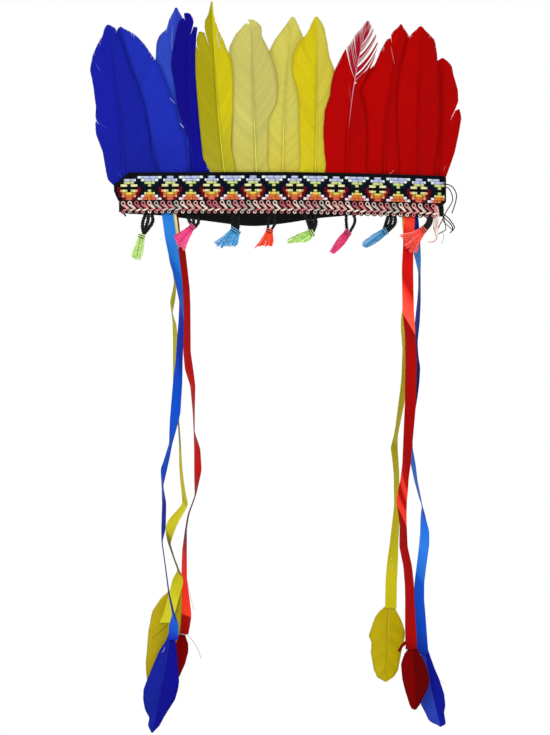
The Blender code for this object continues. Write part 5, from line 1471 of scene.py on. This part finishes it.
class HEADDRESS_OT_threads(bpy.types.Operator):
    """Add the loose threads at the band's ends, a few stray hairs and a painted shadow line"""
    bl_idname = "headdress.threads"
    bl_label = "Loose threads"

    def execute(self, context):
        material = bpy.data.materials["Crocheted edge, shaded acrylic yarn"]
        parts = []
        for colour, thick, before, points in LOOSE_ENDS:
            line = resample([(x * MM, 0.0, z * MM) for x, z in points], 26)
            ahead = np.interp(np.linspace(0, 1, 26), np.linspace(0, 1, len(before)), before)
            line[:, 1] = bowed_y(line[:, 0], 0.6 * MM) - ahead * MM
            parts.append(strands(line[None], FRONT, thick * MM, 1.0, linear(colour), 6, material))
        make_piece("Loose_threads", parts, material, [])
        parts = []
        for colour, thick, points in STRAY_HAIRS_AND_PAINTED_SHADOW:
            line = resample([(x * MM, y * MM, z * MM) for x, y, z in points], 20)
            parts.append(strands(line[None], FRONT, thick * MM, 1.0, linear(colour), 5, material))
        make_piece("Stray_hairs_and_painted_shadow", parts, material, [])
        return {"FINISHED"}


# ---------------------------------------------------------------- stage

# The photograph's frame in pixels, the pixel on which the origin lies, and a pixel's size this far before the
# origin; the camera's distance, the floor's half width, and the key light
PHOTO_WIDE = 550
PHOTO_TALL = 735
ORIGIN_PIXEL = (280, 214)
PIXEL = 0.87 * MM
SHARP_DEPTH = 35.0 * MM
CAMERA_AWAY = 4.0
FLOOR_REACH = 0.6
KEY_PLACE = (-0.35, -1.7, 0.7)
KEY_AIM = (0.0, 0.0, -0.1)
KEY_SIZE = (0.9, 0.6)
KEY_WATTS = 10.5


class HEADDRESS_OT_stage(bpy.types.Operator):
    """Set the pale floor, soft light and camera"""
    bl_idname = "headdress.stage"
    bl_label = "Stage and camera"

    def execute(self, context):
        scene = context.scene
        world = bpy.data.worlds.new("Soft white studio")
        world.use_nodes = True
        sky = world.node_tree.nodes["Background"].inputs
        sky["Color"].default_value = (1.0, 1.0, 1.0, 1.0)
        sky["Strength"].default_value = 1.0
        scene.world = world
        light = bpy.data.lights.new("Key", "AREA")
        light.shape = "RECTANGLE"
        light.size, light.size_y = KEY_SIZE
        light.energy = KEY_WATTS
        key = bpy.data.objects.new("Key", light)
        key.location = KEY_PLACE
        key.rotation_euler = (Vector(KEY_AIM) - key.location).to_track_quat("-Z", "Y").to_euler()
        scene.collection.objects.link(key)
        # matte card: clean and pale, with no highlight of its own
        card, tree = new_material("White card, matte")
        shader = add_node(tree, "ShaderNodeBsdfPrincipled", {
            "Base Color": (*linear("#f4f4f2"), 1.0), "Roughness": 0.9, "Specular IOR Level": 0.1,
        })
        add_node(tree, "ShaderNodeOutputMaterial", {"Surface": shader.outputs[0]})
        sheet = bpy.data.meshes.new("Floor")
        reach = FLOOR_REACH
        corners = [(x, y, FLOOR) for x, y in ((-reach, -reach), (reach, -reach), (reach, reach), (-reach, reach))]
        sheet.from_pydata(corners, [], [(0, 1, 2, 3)])
        sheet.materials.append(card)
        floor = bpy.data.objects.new("Floor", sheet)
        scene.collection.objects.link(floor)
        data = bpy.data.cameras.new("Camera")
        camera = bpy.data.objects.new("Camera", data)
        across = (PHOTO_WIDE / 2 - ORIGIN_PIXEL[0]) * PIXEL
        up = (ORIGIN_PIXEL[1] - PHOTO_TALL / 2) * PIXEL
        data.sensor_width = 36.0
        data.lens = data.sensor_width * (CAMERA_AWAY - SHARP_DEPTH) / (PHOTO_TALL * PIXEL)
        data.clip_end = 20.0
        camera.location = (across, -CAMERA_AWAY, up)
        camera.rotation_euler = (math.pi / 2, 0.0, 0.0)
        scene.collection.objects.link(camera)
        scene.camera = camera
        scene.view_settings.view_transform = "Standard"
        return {"FINISHED"}


# ---------------------------------------------------------------- add-on

def length(name, description, default, low, high):
    """A setting in mm."""
    return FloatProperty(name=name, description=description, default=default * MM, min=low * MM, max=high * MM,
                         precision=5, subtype="DISTANCE", unit="LENGTH")


def dye(name, description, code):
    """A colour setting."""
    return FloatVectorProperty(name=name, description=description, default=tuple(linear(code)), size=3, min=0.0,
                               max=1.0, subtype="COLOR")


class HeaddressSettings(bpy.types.PropertyGroup):
    seed: IntProperty(name="Seed", description="Starts the small unevenness of barbs and strands", default=7)
    barb_pitch: length("Barb pitch", "Step between the barbs along a shaft", 0.56, 0.2, 3.0)
    barb_points: IntProperty(name="Barb points", description="Points along each barb", default=7, min=3, max=16)
    loop_pitch: length("Loop pitch", "Step between the loops of the crocheted edge", 5.75, 3.0, 12.0)
    ribbon_width: length("Ribbon width", "Width of the satin ribbons", 10.0, 4.0, 20.0)
    elastic_height: length("Elastic height", "Height of the elastic round the back", 35.0, 15.0, 40.0)
    strands: IntProperty(name="Strands", description="Strands in each tassel", default=64, min=8, max=200)
    strand_thick: length("Strand thickness", "Thickness of a tassel's strands", 0.7, 0.3, 2.0)
    blue_dye: dye("Blue dye", "Colour of the blue feathers and ribbons", DYES["blue"])
    yellow_dye: dye("Yellow dye", "Colour of the yellow feathers and ribbons", DYES["yellow"])
    red_dye: dye("Red dye", "Colour of the red feathers and ribbons", DYES["red"])
    cord_colour: dye("Cord colour", "Colour of the crocheted cords the tassels hang on", "#060608")


class HEADDRESS_PT_panel(bpy.types.Panel):
    bl_label = "Headdress"
    bl_space_type = "VIEW_3D"
    bl_region_type = "UI"
    bl_category = "Headdress"

    def draw(self, context):
        """List the settings, then a button for each step"""
        settings = context.scene.headdress
        for name in HeaddressSettings.__annotations__:
            self.layout.prop(settings, name)
        for name in STEPS:
            self.layout.operator("headdress." + name)


STEPS = ("feathers", "end_feathers", "trim", "felt", "braid", "ribbons", "tassels", "threads", "stage")
CLASSES = (
    HeaddressSettings, HEADDRESS_OT_feathers, HEADDRESS_OT_end_feathers, HEADDRESS_OT_trim, HEADDRESS_OT_felt,
    HEADDRESS_OT_braid, HEADDRESS_OT_ribbons, HEADDRESS_OT_tassels, HEADDRESS_OT_threads, HEADDRESS_OT_stage,
    HEADDRESS_PT_panel,
)


def register():
    for cls in CLASSES:
        bpy.utils.register_class(cls)
    bpy.types.Scene.headdress = PointerProperty(type=HeaddressSettings)


def unregister():
    del bpy.types.Scene.headdress
    for cls in reversed(CLASSES):
        bpy.utils.unregister_class(cls)


def main():
    """Run every step in order."""
    register()
    for name in STEPS:
        getattr(bpy.ops.headdress, name)()


if __name__ == "__main__":
    main()
